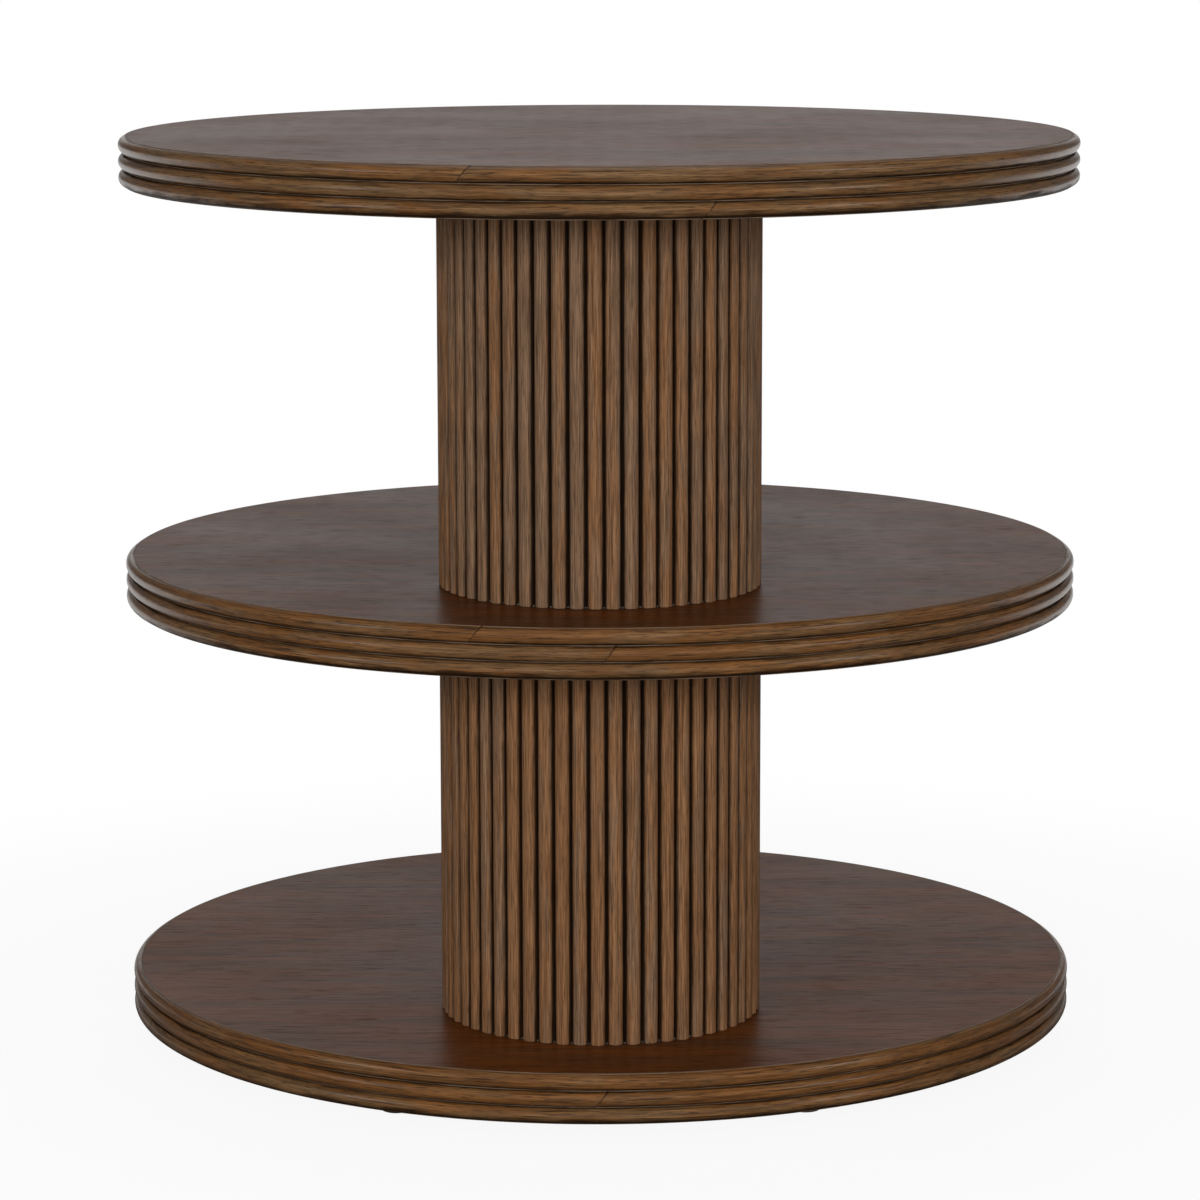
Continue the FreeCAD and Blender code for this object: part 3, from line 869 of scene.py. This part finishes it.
def turned_shell(shell, rows, steps, centre):
    """Adds a closed shell turned about an upright axis.

    Each row gives a function from an angle to the radius there, and a height.
    """
    angles = [math.tau * step / steps for step in range(steps)]
    rings = [
        [corner(shell, centre, radius_at(angle), angle, height) for angle in angles]
        for radius_at, height in rows
    ]
    for low, high in zip(rings, rings[1:]):
        for step in range(steps):
            after = (step + 1) % steps
            shell.faces.new((low[step], low[after], high[after], high[step]))
    for ring, height in ((rings[0], rows[0][1]), (rings[-1], rows[-1][1])):
        pole = shell.verts.new((centre.x, centre.y, height))
        for step in range(steps):
            shell.faces.new((ring[step], ring[(step + 1) % steps], pole))


def hexagon(angle):
    """From a collar's axis to its edge, at an angle."""
    return COLLAR_FLAT / math.cos((angle + math.pi / 6) % (math.pi / 3) - math.pi / 6)


def chamfered(angle):
    """The same with the corners taken off."""
    return min(hexagon(angle), COLLAR_FLAT * 1.03)


def round_rows(profile):
    """Rows of a round shell from pairs of radius and height."""
    return [((lambda angle, radius=radius: radius), height) for radius, height in profile]


def helix_shell(shell, centre, root, crest, pitch, low, high, steps):
    """Adds a closed threaded rod whose ridge climbs one pitch a turn."""
    form = (root, root, (root + crest) / 2, crest, crest, (root + crest) / 2)
    turns = math.ceil((high - low) / pitch) + 1
    columns = []
    for step in range(steps):
        angle = math.tau * step / steps
        column = []
        for row in range(turns * len(form) + 1):
            height = low + pitch * (row / len(form) + step / steps - 1)
            radius = form[row % len(form)]
            ease = min(height - low, high - height)
            if ease < pitch:
                radius = min(radius, root + max(ease, 0.0) * 0.6)
            column.append(corner(shell, centre, radius, angle, min(max(height, low), high)))
        columns.append(column)
    for step in range(steps):
        here, there = columns[step], columns[(step + 1) % steps]
        shift = 0 if step + 1 < steps else len(form)
        for row in range(len(here) - 1 - shift):
            beside = row + shift
            shell.faces.new((here[row], there[beside], there[beside + 1], here[row + 1]))
    bmesh.ops.remove_doubles(shell, verts=shell.verts, dist=1e-6)
    bmesh.ops.dissolve_degenerate(shell, edges=shell.edges, dist=1e-6)
    bmesh.ops.holes_fill(shell, edges=shell.edges, sides=0)


def shell_object(name, shell, material):
    """A finished object from a shell, smooth with crisp corners, and facing outwards."""
    bmesh.ops.recalc_face_normals(shell, faces=shell.faces)
    for face in shell.faces:
        face.smooth = True
    for edge in shell.edges:
        edge.smooth = len(edge.link_faces) == 2 and edge.calc_face_angle() < CRISP_ANGLE
    mesh = bpy.data.meshes.new(name)
    shell.to_mesh(mesh)
    shell.free()
    mesh.materials.append(material)
    return linked(name, mesh)


def stand_in(piece, node, body):
    """Lets a piece stand for a node of the solid model and ride on its body."""
    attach(piece, body)
    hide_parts(node)


def dress(nodes, material):
    """Puts a finish on nodes of the solid model that stay as they are."""
    for node in nodes:
        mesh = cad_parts[node].data
        mesh.materials.clear()
        mesh.materials.append(material)


# ---- what a user would change ----------------------------


def length(name, description, default):
    """A length in metres."""
    return FloatProperty(
        name=name,
        description=description,
        default=default,
        min=0.0,
        precision=5,
        unit="LENGTH",
        subtype="DISTANCE",
    )


def tint(name, description, default):
    """A surface colour."""
    return FloatVectorProperty(
        name=name,
        description=description,
        default=default,
        min=0.0,
        max=1.0,
        size=3,
        subtype="COLOR",
    )


def share(name, description, default):
    """A share from nought to one."""
    return FloatProperty(
        name=name, description=description, default=default, min=0.0, max=1.0, subtype="FACTOR"
    )


def power(name, description, default):
    """The power of a lamp in watts."""
    return FloatProperty(name=name, description=description, default=default, min=0.0, unit="POWER")


class VeneerFinish(bpy.types.PropertyGroup):
    """Stain and lacquer of the boards"""

    dark: tint("Dark Figure", "Darker bands of the grain", (0.086, 0.026, 0.0046))
    light: tint("Light Figure", "Lighter bands of the grain", (0.161, 0.05, 0.011))
    cool: tint("Cool Tint", "Greyest places", (0.09, 0.037, 0.016))
    warm: tint("Warm Tint", "Reddest places", (0.153, 0.042, 0.0067))
    line: tint("Streaks", "Long dark streaks of the grain", (0.036, 0.0115, 0.0023))
    glaze: tint("Pores", "Dark filler in the pores", (0.02, 0.0065, 0.002))
    lines: share("Line Strength", "How far the fine lines shade the wood", 0.6)
    streaks: share("Streak Strength", "How far the long streaks cover", 0.5)
    pores: share("Pore Strength", "How far the pores cover", 0.4)
    roughness: share("Roughness", "Roughness of the lacquer", 0.38)
    gloss: share("Gloss", "How strongly the lacquer mirrors", 0.056)


class BeadFinish(bpy.types.PropertyGroup):
    """Stain, glaze, painted shade and highlight in the grooves, and lacquer of the edge beads"""

    dark: tint("Dark Figure", "Darker bands of the grain", (0.112, 0.048, 0.012))
    light: tint("Light Figure", "Lighter bands of the grain", (0.315, 0.152, 0.047))
    cool: tint("Cool Tint", "Greyest places", (0.16, 0.092, 0.043))
    warm: tint("Warm Tint", "Reddest places", (0.165, 0.059, 0.0145))
    line: tint("Streaks", "Long dark streaks of the grain", (0.05, 0.022, 0.008))
    glaze: tint("Glaze", "Dark glaze and painted shade in grooves, and glaze in pores", (0.018, 0.009, 0.0045))
    glaze_start: share("Glaze Start", "How far down the side of the stock the glaze and painted shade begin", 0.3)
    glaze_full: share("Glaze Full", "How far down the side of the stock the glaze and painted shade are full", 0.75)
    unevenness: share("Unevenness", "How far the border of the glaze and painted shade wanders", 0.9)
    residue: tint("Residue", "Dried glaze and a painted highlight on the flat of a groove", (0.2, 0.135, 0.092))
    residue_depth: length("Residue Depth", "How far out the dried glaze and painted highlight reach", 1.1 * MM)
    foot_dust: share("Foot Dust", "Dust at the ends of the stock", 0.0)
    lines: share("Line Strength", "How far the fine lines shade the wood", 0.6)
    streaks: share("Streak Strength", "How far the long streaks cover", 0.95)
    pores: share("Pore Strength", "How far the pores cover", 0.7)
    roughness: share("Roughness", "Roughness of the lacquer", 0.5)
    gloss: share("Gloss", "How strongly the lacquer mirrors", 0.05)
    coat: share("Coat", "How strongly the top coat mirrors", 0.9)


class ReedFinish(bpy.types.PropertyGroup):
    """Stain, glaze, painted shade in the valleys, and lacquer of the column reeds"""

    dark: tint("Dark Figure", "Darker bands of the grain", (0.172, 0.092, 0.046))
    light: tint("Light Figure", "Lighter bands of the grain", (0.318, 0.186, 0.096))
    cool: tint("Cool Tint", "Greyest places", (0.188, 0.117, 0.077))
    warm: tint("Warm Tint", "Reddest places", (0.245, 0.109, 0.046))
    line: tint("Streaks", "Long dark streaks of the grain", (0.06, 0.029, 0.014))
    glaze: tint("Glaze", "Dark glaze and painted shade in grooves, and glaze in pores", (0.006, 0.0025, 0.001))
    glaze_start: share("Glaze Start", "How far down the side of the stock the glaze and painted shade begin", 0.22)
    glaze_full: share("Glaze Full", "How far down the side of the stock the glaze and painted shade are full", 0.66)
    unevenness: share("Unevenness", "How far the border of the glaze and painted shade wanders", 0.4)
    residue: tint("Residue", "Dried glaze and a painted highlight on the flat of a groove", (0.02, 0.013, 0.009))
    residue_depth: length("Residue Depth", "How far out the dried glaze and painted highlight reach", 0.0)
    foot_dust: share("Foot Dust", "Dust at the ends of the stock", 0.8)
    lines: share("Line Strength", "How far the fine lines shade the wood", 0.7)
    streaks: share("Streak Strength", "How far the long streaks cover", 0.5)
    pores: share("Pore Strength", "How far the pores cover", 0.35)
    roughness: share("Roughness", "Roughness of the lacquer", 0.5)
    gloss: share("Gloss", "How strongly the lacquer mirrors", 0.02)
    coat: share("Coat", "How strongly the top coat mirrors", 0.0)


class BeadSizes(bpy.types.PropertyGroup):
    """Sizes of the half-round beads round a tier"""

    base: length("Base", "How far out the groove between two beads stands", 1.0 * MM)
    land: length("Land", "Half of the flat at the bottom of a groove", 0.6 * MM)
    slant: FloatProperty(
        name="Joint Slant",
        description="Lean of a glued joint from upright",
        default=math.radians(40),
        subtype="ANGLE",
        unit="ROTATION",
    )
    gap: length("Joint Gap", "Glue line between two lengths", 0.12 * MM)
    steps: IntProperty(
        name="Steps", description="Straight steps in half a ring", default=144, min=12, max=400
    )


class ReedSizes(bpy.types.PropertyGroup):
    """Sizes of the half-round reeds round a column"""

    count: IntProperty(name="Count", description="Reeds round a column", default=56, min=8, max=120)
    width: length("Width", "Across the flat back of a reed", 11.8 * MM)
    depth: length("Depth", "How far a reed stands out from the drum", 5.9 * MM)
    ease: length("End Ease", "Rounding of a reed's ends", 0.5 * MM)
    foot_play: length("Foot Play", "How unevenly the reeds' ends line up", 0.3 * MM)
    spacing_play: length("Spacing Play", "How unevenly the reeds are spaced", 0.2 * MM)


class LevellerSizes(bpy.types.PropertyGroup):
    """Sizes and colours of the levellers"""

    thread_pitch: length("Thread Pitch", "Rise of the thread in one turn", 1.25 * MM)
    thread_depth: length("Thread Depth", "From the thread's crest to its root", 0.62 * MM)
    foot_round: length("Foot Round", "Rounding of a glide's lower edge", 2.6 * MM)
    zinc: tint("Zinc", "Plate of studs, rod, nut and washer", (0.62, 0.63, 0.65))
    plastic: tint("Plastic", "Moulding of the glides", (0.012, 0.012, 0.013))


class StageSettings(bpy.types.PropertyGroup):
    """Floor, lamps and surroundings"""

    floor: tint("Floor", "Colour of the floor", (0.9, 0.9, 0.9))
    bounce: tint("Bounce", "Light that the floor throws back on the table", (0.25, 0.25, 0.25))
    ambient: FloatProperty(
        name="Ambient", description="Light from all round", default=0.1, min=0.0, max=2.0
    )
    front: power("Front Lamp", "Power of the large lamp in front", 138.0)
    back: power("Back Lamp", "Power of the large lamp behind", 95.0)
    left: power("Left Lamp", "Power of the lamp at the front left", 10.0)
    right: power("Right Lamp", "Power of the lamp at the front right", 10.0)
    top: power("Top Lamp", "Power of the lamp overhead", 8.0)


class TableSettings(bpy.types.PropertyGroup):
    """Everything about the table that a user would change"""

    beads: PointerProperty(type=BeadSizes, name="Beads", description="Sizes of the edge beads")
    reeds: PointerProperty(type=ReedSizes, name="Reeds", description="Sizes of the column reeds")
    levellers: PointerProperty(
        type=LevellerSizes, name="Levellers", description="Sizes and colours of the levellers"
    )
    veneer: PointerProperty(type=VeneerFinish, name="Veneer", description="Finish of the boards")
    bead_wood: PointerProperty(
        type=BeadFinish, name="Bead Wood", description="Finish of the edge beads"
    )
    reed_wood: PointerProperty(type=ReedFinish, name="Reed Wood", description="Finish of the reeds")
    stage: PointerProperty(
        type=StageSettings, name="Stage", description="Floor, lamps and surroundings"
    )


# ---- operators -------------------------------------------


class EdgeBeads(bpy.types.Operator):
    """Bend the beads round the edges of the three tiers"""

    bl_idname = "tiered_table.edge_beads"
    bl_label = "Edge Beads"

    def execute(self, context):
        settings = context.scene.tiered_table
        sizes = settings.beads
        material = stock_wood("bead wood", settings.bead_wood, BEAD_GRAIN)
        for node, (joint, tone, other_tone) in BEADS.items():
            low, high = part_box(node)
            upper, lower = "_upper_" in node, "_lower_" in node
            piece = grown(
                f"bent_{node}",
                bead_ring,
                {
                    "Back Radius": BEAD_BACK,
                    "Middle Height": (low.z + high.z) / 2,
                    "Width": high.z - low.z,
                    "Depth": high.x - BEAD_BACK,
                    "Base Above": 0.0 if upper else sizes.base,
                    "Land Above": 0.0 if upper else sizes.land,
                    "Base Below": 0.0 if lower else sizes.base,
                    "Land Below": 0.0 if lower else sizes.land,
                    "Glaze Above": EDGE_PAINTED_SHADE_ABOVE if upper else GROOVE_PAINTED_SHADE_ABOVE,
                    "Glaze Below": EDGE_PAINTED_SHADE_BELOW if lower else GROOVE_PAINTED_SHADE_BELOW,
                    "First Joint": math.radians(joint) + FRONT,
                    "Joint Slant": sizes.slant,
                    "Joint Gap": sizes.gap,
                    "Steps": sizes.steps,
                    "First Tone": tone,
                    "Second Tone": other_tone,
                    "Material": material,
                },
            )
            stand_in(piece, node, "table")
        return {"FINISHED"}


class ColumnReeds(bpy.types.Operator):
    """Stand the reeds round the two drums"""

    bl_idname = "tiered_table.column_reeds"
    bl_label = "Column Reeds"

    def execute(self, context):
        settings = context.scene.tiered_table
        sizes = settings.reeds
        material = stock_wood("reed wood", settings.reed_wood, REED_GRAIN)
        for seed, (node, (turn, redness)) in enumerate(REEDS.items()):
            low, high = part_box(node.replace("reeds", "drum"))
            centre = (low + high) / 2
            drum = (high.x - low.x) / 2
            piece = grown(
                f"standing_{node}",
                reed_drum,
                {
                    "Count": sizes.count,
                    "Drum Radius": drum,
                    "Foot Centre": (centre.x, centre.y, low.z),
                    "Length": high.z - low.z,
                    "Width": sizes.width,
                    "Depth": sizes.depth,
                    "End Ease": sizes.ease,
                    "Foot Play": sizes.foot_play,
                    "Spacing Play": sizes.spacing_play / drum,
                    "Turn": math.radians(turn) + FRONT,
                    "Redness": redness,
                    "Seed": seed * 5 + 2,
                    "Material": material,
                },
            )
            stand_in(piece, node, "table")
        return {"FINISHED"}


class GlidePads(bpy.types.Operator):
    """Mould the glides under the levellers"""

    bl_idname = "tiered_table.glide_pads"
    bl_label = "Glide Pads"

    def execute(self, context):
        sizes = context.scene.tiered_table.levellers
        material = moulded_plastic("glide plastic", sizes)
        for number in LEVELLERS:
            node = f"leveller_{number}_pad"
            low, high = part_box(node)
            centre = (low + high) / 2
            radius = (high.x - low.x) / 2
            top = high.z
            bend = sizes.foot_round
            foot = [
                (radius - bend + bend * math.sin(angle), low.z + bend - bend * math.cos(angle))
                for angle in (math.pi / 2 * step / 6 for step in range(7))
            ]
            profile = [
                (radius * 0.55, low.z + 0.3 * MM),
                (radius * 0.6, low.z),
                *foot,
                (radius, top - 2.0 * MM),
                (radius - 0.3 * MM, top - 1.2 * MM),
                (radius - 1.2 * MM, top - 0.3 * MM),
                (radius - 2.4 * MM, top),
                (SOCKET_RADIUS + 0.4 * MM, top),
                (SOCKET_RADIUS, top - 0.4 * MM),
                (SOCKET_RADIUS, low.z + SOCKET_FLOOR),
            ]
            shell = bmesh.new()
            turned_shell(shell, round_rows(profile), 48, centre)
            piece = shell_object(f"moulded_{node}", shell, material)
            stand_in(piece, node, f"pad_{number}")
        return {"FINISHED"}


class LevellerStuds(bpy.types.Operator):
    """Thread the studs of the levellers and give them their collars"""

    bl_idname = "tiered_table.leveller_studs"
    bl_label = "Leveller Studs"

    def execute(self, context):
        sizes = context.scene.tiered_table.levellers
        material = zinc_plate("zinc plate", sizes)
        for number in LEVELLERS:
            node = f"leveller_{number}_stud"
            low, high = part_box(node)
            centre = (low + high) / 2
            pad_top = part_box(f"leveller_{number}_pad")[1].z
            collar_low = pad_top + COLLAR_GAP
            collar_high = collar_low + COLLAR_HEIGHT
            collar = [
                (chamfered, collar_low),
                (hexagon, collar_low + 0.5 * MM),
                (hexagon, collar_high - 0.5 * MM),
                (chamfered, collar_high),
            ]
            journal = [
                (STUD_RADIUS - 0.4 * MM, low.z),
                (STUD_RADIUS, low.z + 0.4 * MM),
                (STUD_RADIUS, collar_low + 0.1 * MM),
            ]
            shell = bmesh.new()
            helix_shell(
                shell,
                centre,
                STUD_RADIUS - sizes.thread_depth,
                STUD_RADIUS,
                sizes.thread_pitch,
                collar_high - 0.1 * MM,
                high.z,
                20,
            )
            turned_shell(shell, collar, 48, centre)
            turned_shell(shell, round_rows(journal), 24, centre)
            piece = shell_object(f"threaded_{node}", shell, material)
            stand_in(piece, node, f"stud_{number}")
        return {"FINISHED"}


class BoardVeneer(bpy.types.Operator):
    """Veneer the three boards"""

    bl_idname = "tiered_table.board_veneer"
    bl_label = "Board Veneer"

    def execute(self, context):
        material = veneer("tabletop veneer", context.scene.tiered_table.veneer)
        dress(("top_board", "middle_board", "bottom_board"), material)
        return {"FINISHED"}


class DrumsAndPlates(bpy.types.Operator):
    """Finish the drums behind the reeds, their end plates and the dowels"""

    bl_idname = "tiered_table.drums_and_plates"
    bl_label = "Drums and Plates"

    def execute(self, context):
        glaze = context.scene.tiered_table.reed_wood.glaze
        lighter = [value * 2.0 for value in glaze]
        glazed = plain_wood("glazed drum ply", glaze, lighter, 0.6, upright=True)
        dress(("upper_column_drum", "lower_column_drum"), glazed)
        ply = plain_wood("bare plywood", (0.42, 0.29, 0.17), (0.62, 0.47, 0.31), 0.7)
        columns = ("upper_column", "lower_column")
        dress([f"{column}_{end}_plate" for column in columns for end in ("bottom", "top")], ply)
        beech = plain_wood("dowel beech", (0.5, 0.34, 0.2), (0.68, 0.52, 0.35), 0.6, upright=True)
        dress(("twist_dowels",), beech)
        return {"FINISHED"}


class MetalFittings(bpy.types.Operator):
    """Plate the tie rod, its nut, washer and insert, and the leveller inserts"""

    bl_idname = "tiered_table.metal_fittings"
    bl_label = "Metal Fittings"

    def execute(self, context):
        material = zinc_plate("fitting zinc", context.scene.tiered_table.levellers)
        parts = ("tie_rod", "tie_rod_insert", "tie_rod_washer", "tie_rod_nut", "leveller_inserts")
        dress(parts, material)
        return {"FINISHED"}


class StudioStage(bpy.types.Operator):
    """Lay the floor, hang the lamps and set up the camera"""

    bl_idname = "tiered_table.stage"
    bl_label = "Stage"

    def execute(self, context):
        settings = context.scene.tiered_table.stage
        lay_floor(settings)
        light_all_round(settings.ambient)
        for name, (size, place, mirrored) in LAMPS.items():
            hang_lamp(f"{name} lamp", getattr(settings, name), size, place, mirrored)
        place_camera()
        context.scene.view_settings.view_transform = "Standard"
        return {"FINISHED"}


def shown_white(nodes, mirrored):
    """How white the surroundings look: fully to the camera and through glass, less in a mirror."""
    path = nodes.add("ShaderNodeLightPath").outputs
    seen = nodes.math("MAXIMUM", path["Is Camera Ray"], path["Is Transmission Ray"])
    return nodes.math("MAXIMUM", seen, nodes.math("MULTIPLY", path["Is Glossy Ray"], mirrored))


def lay_floor(settings):
    """A wide pale floor that keeps the table's shadow and is clear when seen from below.

    It fades to white around the table, and shows in mirrored light only behind it.
    """
    shell = bmesh.new()
    bmesh.ops.create_circle(shell, cap_ends=True, segments=96, radius=60.0)
    material = bpy.data.materials.new("pale floor")
    material.use_nodes = True
    material.node_tree.nodes.clear()
    nodes = Nodes(material.node_tree)
    at = nodes.add("ShaderNodeTexCoord").outputs["Object"]
    seen = shown_white(nodes, nodes.ramp(nodes.parts(at)[1], 0.0, 0.8))
    tone = nodes.colour_mix(seen, colour(settings.bounce), colour(settings.floor))
    paint = nodes.add("ShaderNodeBsdfDiffuse", {"Color": tone})
    white = nodes.add("ShaderNodeEmission", {"Color": WHITE, "Strength": 1.0})
    away = nodes.ramp(nodes.vector_math("LENGTH", at), FADE_START, FADE_END, NEAR_WHITE, 1.0)
    mix = nodes.add(
        "ShaderNodeMixShader",
        {0: nodes.math("MULTIPLY", away, seen), 1: paint.outputs[0], 2: white.outputs[0]},
    )
    below = nodes.add("ShaderNodeNewGeometry").outputs["Backfacing"]
    clear = nodes.add("ShaderNodeBsdfTransparent")
    pale = nodes.add("ShaderNodeMixShader", {0: below, 1: mix.outputs[0], 2: clear.outputs[0]})
    nodes.add("ShaderNodeOutputMaterial", {"Surface": pale.outputs[0]})
    mesh = bpy.data.meshes.new("floor")
    shell.to_mesh(mesh)
    shell.free()
    mesh.materials.append(material)
    linked("floor", mesh)


def light_all_round(strength):
    """Surroundings that light the table gently and look white.

    In mirrored light they are white only straight behind the table, and less so higher up.
    """
    world = bpy.data.worlds.new("surroundings")
    world.use_nodes = True
    world.node_tree.nodes.clear()
    nodes = Nodes(world.node_tree)
    x, y, z = nodes.parts(nodes.add("ShaderNodeNewGeometry").outputs["Incoming"])
    middle = nodes.ramp(nodes.math("ABSOLUTE", x), 0.15, 0.38, 1.0, 0.0)
    behind = nodes.math("MULTIPLY", middle, nodes.ramp(y, -0.3, 0.0, 1.0, 0.0))
    mirrored = nodes.math("MULTIPLY", behind, nodes.ramp(z, -0.4, -0.12, 0.45, 1.0))
    level = nodes.math("MULTIPLY_ADD", shown_white(nodes, mirrored), 1.0 - strength, strength)
    sky = nodes.add("ShaderNodeBackground", {"Color": WHITE, "Strength": level})
    nodes.add("ShaderNodeOutputWorld", {"Surface": sky.outputs[0]})
    bpy.context.scene.world = world


def hang_lamp(name, watts, size, place, mirrored):
    """A soft lamp, given its width and height, that faces the middle of the table."""
    lamp = bpy.data.lights.new(name, "AREA")
    lamp.shape = "RECTANGLE"
    lamp.energy = watts
    lamp.size, lamp.size_y = size
    holder = bpy.data.objects.new(name, lamp)
    bpy.context.scene.collection.objects.link(holder)
    holder.location = place
    holder.rotation_euler = (LAMP_AIM - holder.location).to_track_quat("-Z", "Y").to_euler()
    holder.visible_glossy = mirrored


def place_camera():
    """A long lens a little above the top, tilted down."""
    camera = bpy.data.cameras.new("camera")
    camera.lens = CAMERA_LENS
    camera.sensor_width = 36.0
    camera.clip_end = 200.0
    holder = bpy.data.objects.new("camera", camera)
    bpy.context.scene.collection.objects.link(holder)
    tilt = Matrix.Rotation(math.pi / 2 - CAMERA_DOWN, 4, "X")
    roll = Matrix.Rotation(CAMERA_ROLL, 4, "Z")
    holder.matrix_world = Matrix.Translation(CAMERA_PLACE) @ tilt @ roll
    bpy.context.scene.camera = holder


# ---- panel and registration ------------------------------

STEPS = (
    BoardVeneer,
    EdgeBeads,
    ColumnReeds,
    DrumsAndPlates,
    MetalFittings,
    LevellerStuds,
    GlidePads,
    StudioStage,
)


class TablePanel(bpy.types.Panel):
    """Lists the steps that dress the table, its sizes and its stage"""

    bl_idname = "VIEW3D_PT_tiered_table"
    bl_label = "Tiered Table"
    bl_space_type = "VIEW_3D"
    bl_region_type = "UI"
    bl_category = "Tiered Table"

    def draw(self, context):
        settings = context.scene.tiered_table
        for step in STEPS:
            self.layout.operator(step.bl_idname)
        for group in (settings.beads, settings.reeds, settings.levellers, settings.stage):
            box = self.layout.box()
            for name in group.__annotations__:
                box.prop(group, name)


CLASSES = (
    VeneerFinish,
    BeadFinish,
    ReedFinish,
    BeadSizes,
    ReedSizes,
    LevellerSizes,
    StageSettings,
    TableSettings,
    *STEPS,
    TablePanel,
)


def register():
    """Registers the classes and puts the settings on the scene."""
    for cls in CLASSES:
        bpy.utils.register_class(cls)
    bpy.types.Scene.tiered_table = PointerProperty(
        type=TableSettings, name="Tiered Table", description="Sizes and finishes of the table"
    )


def unregister():
    """Takes the settings and the classes away again."""
    del bpy.types.Scene.tiered_table
    for cls in reversed(CLASSES):
        bpy.utils.unregister_class(cls)


def main():
    """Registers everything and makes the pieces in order."""
    register()
    bpy.ops.tiered_table.board_veneer()
    bpy.ops.tiered_table.edge_beads()
    bpy.ops.tiered_table.column_reeds()
    bpy.ops.tiered_table.drums_and_plates()
    bpy.ops.tiered_table.metal_fittings()
    bpy.ops.tiered_table.leveller_studs()
    bpy.ops.tiered_table.glide_pads()
    bpy.ops.tiered_table.stage()


if __name__ == "__main__":
    main()
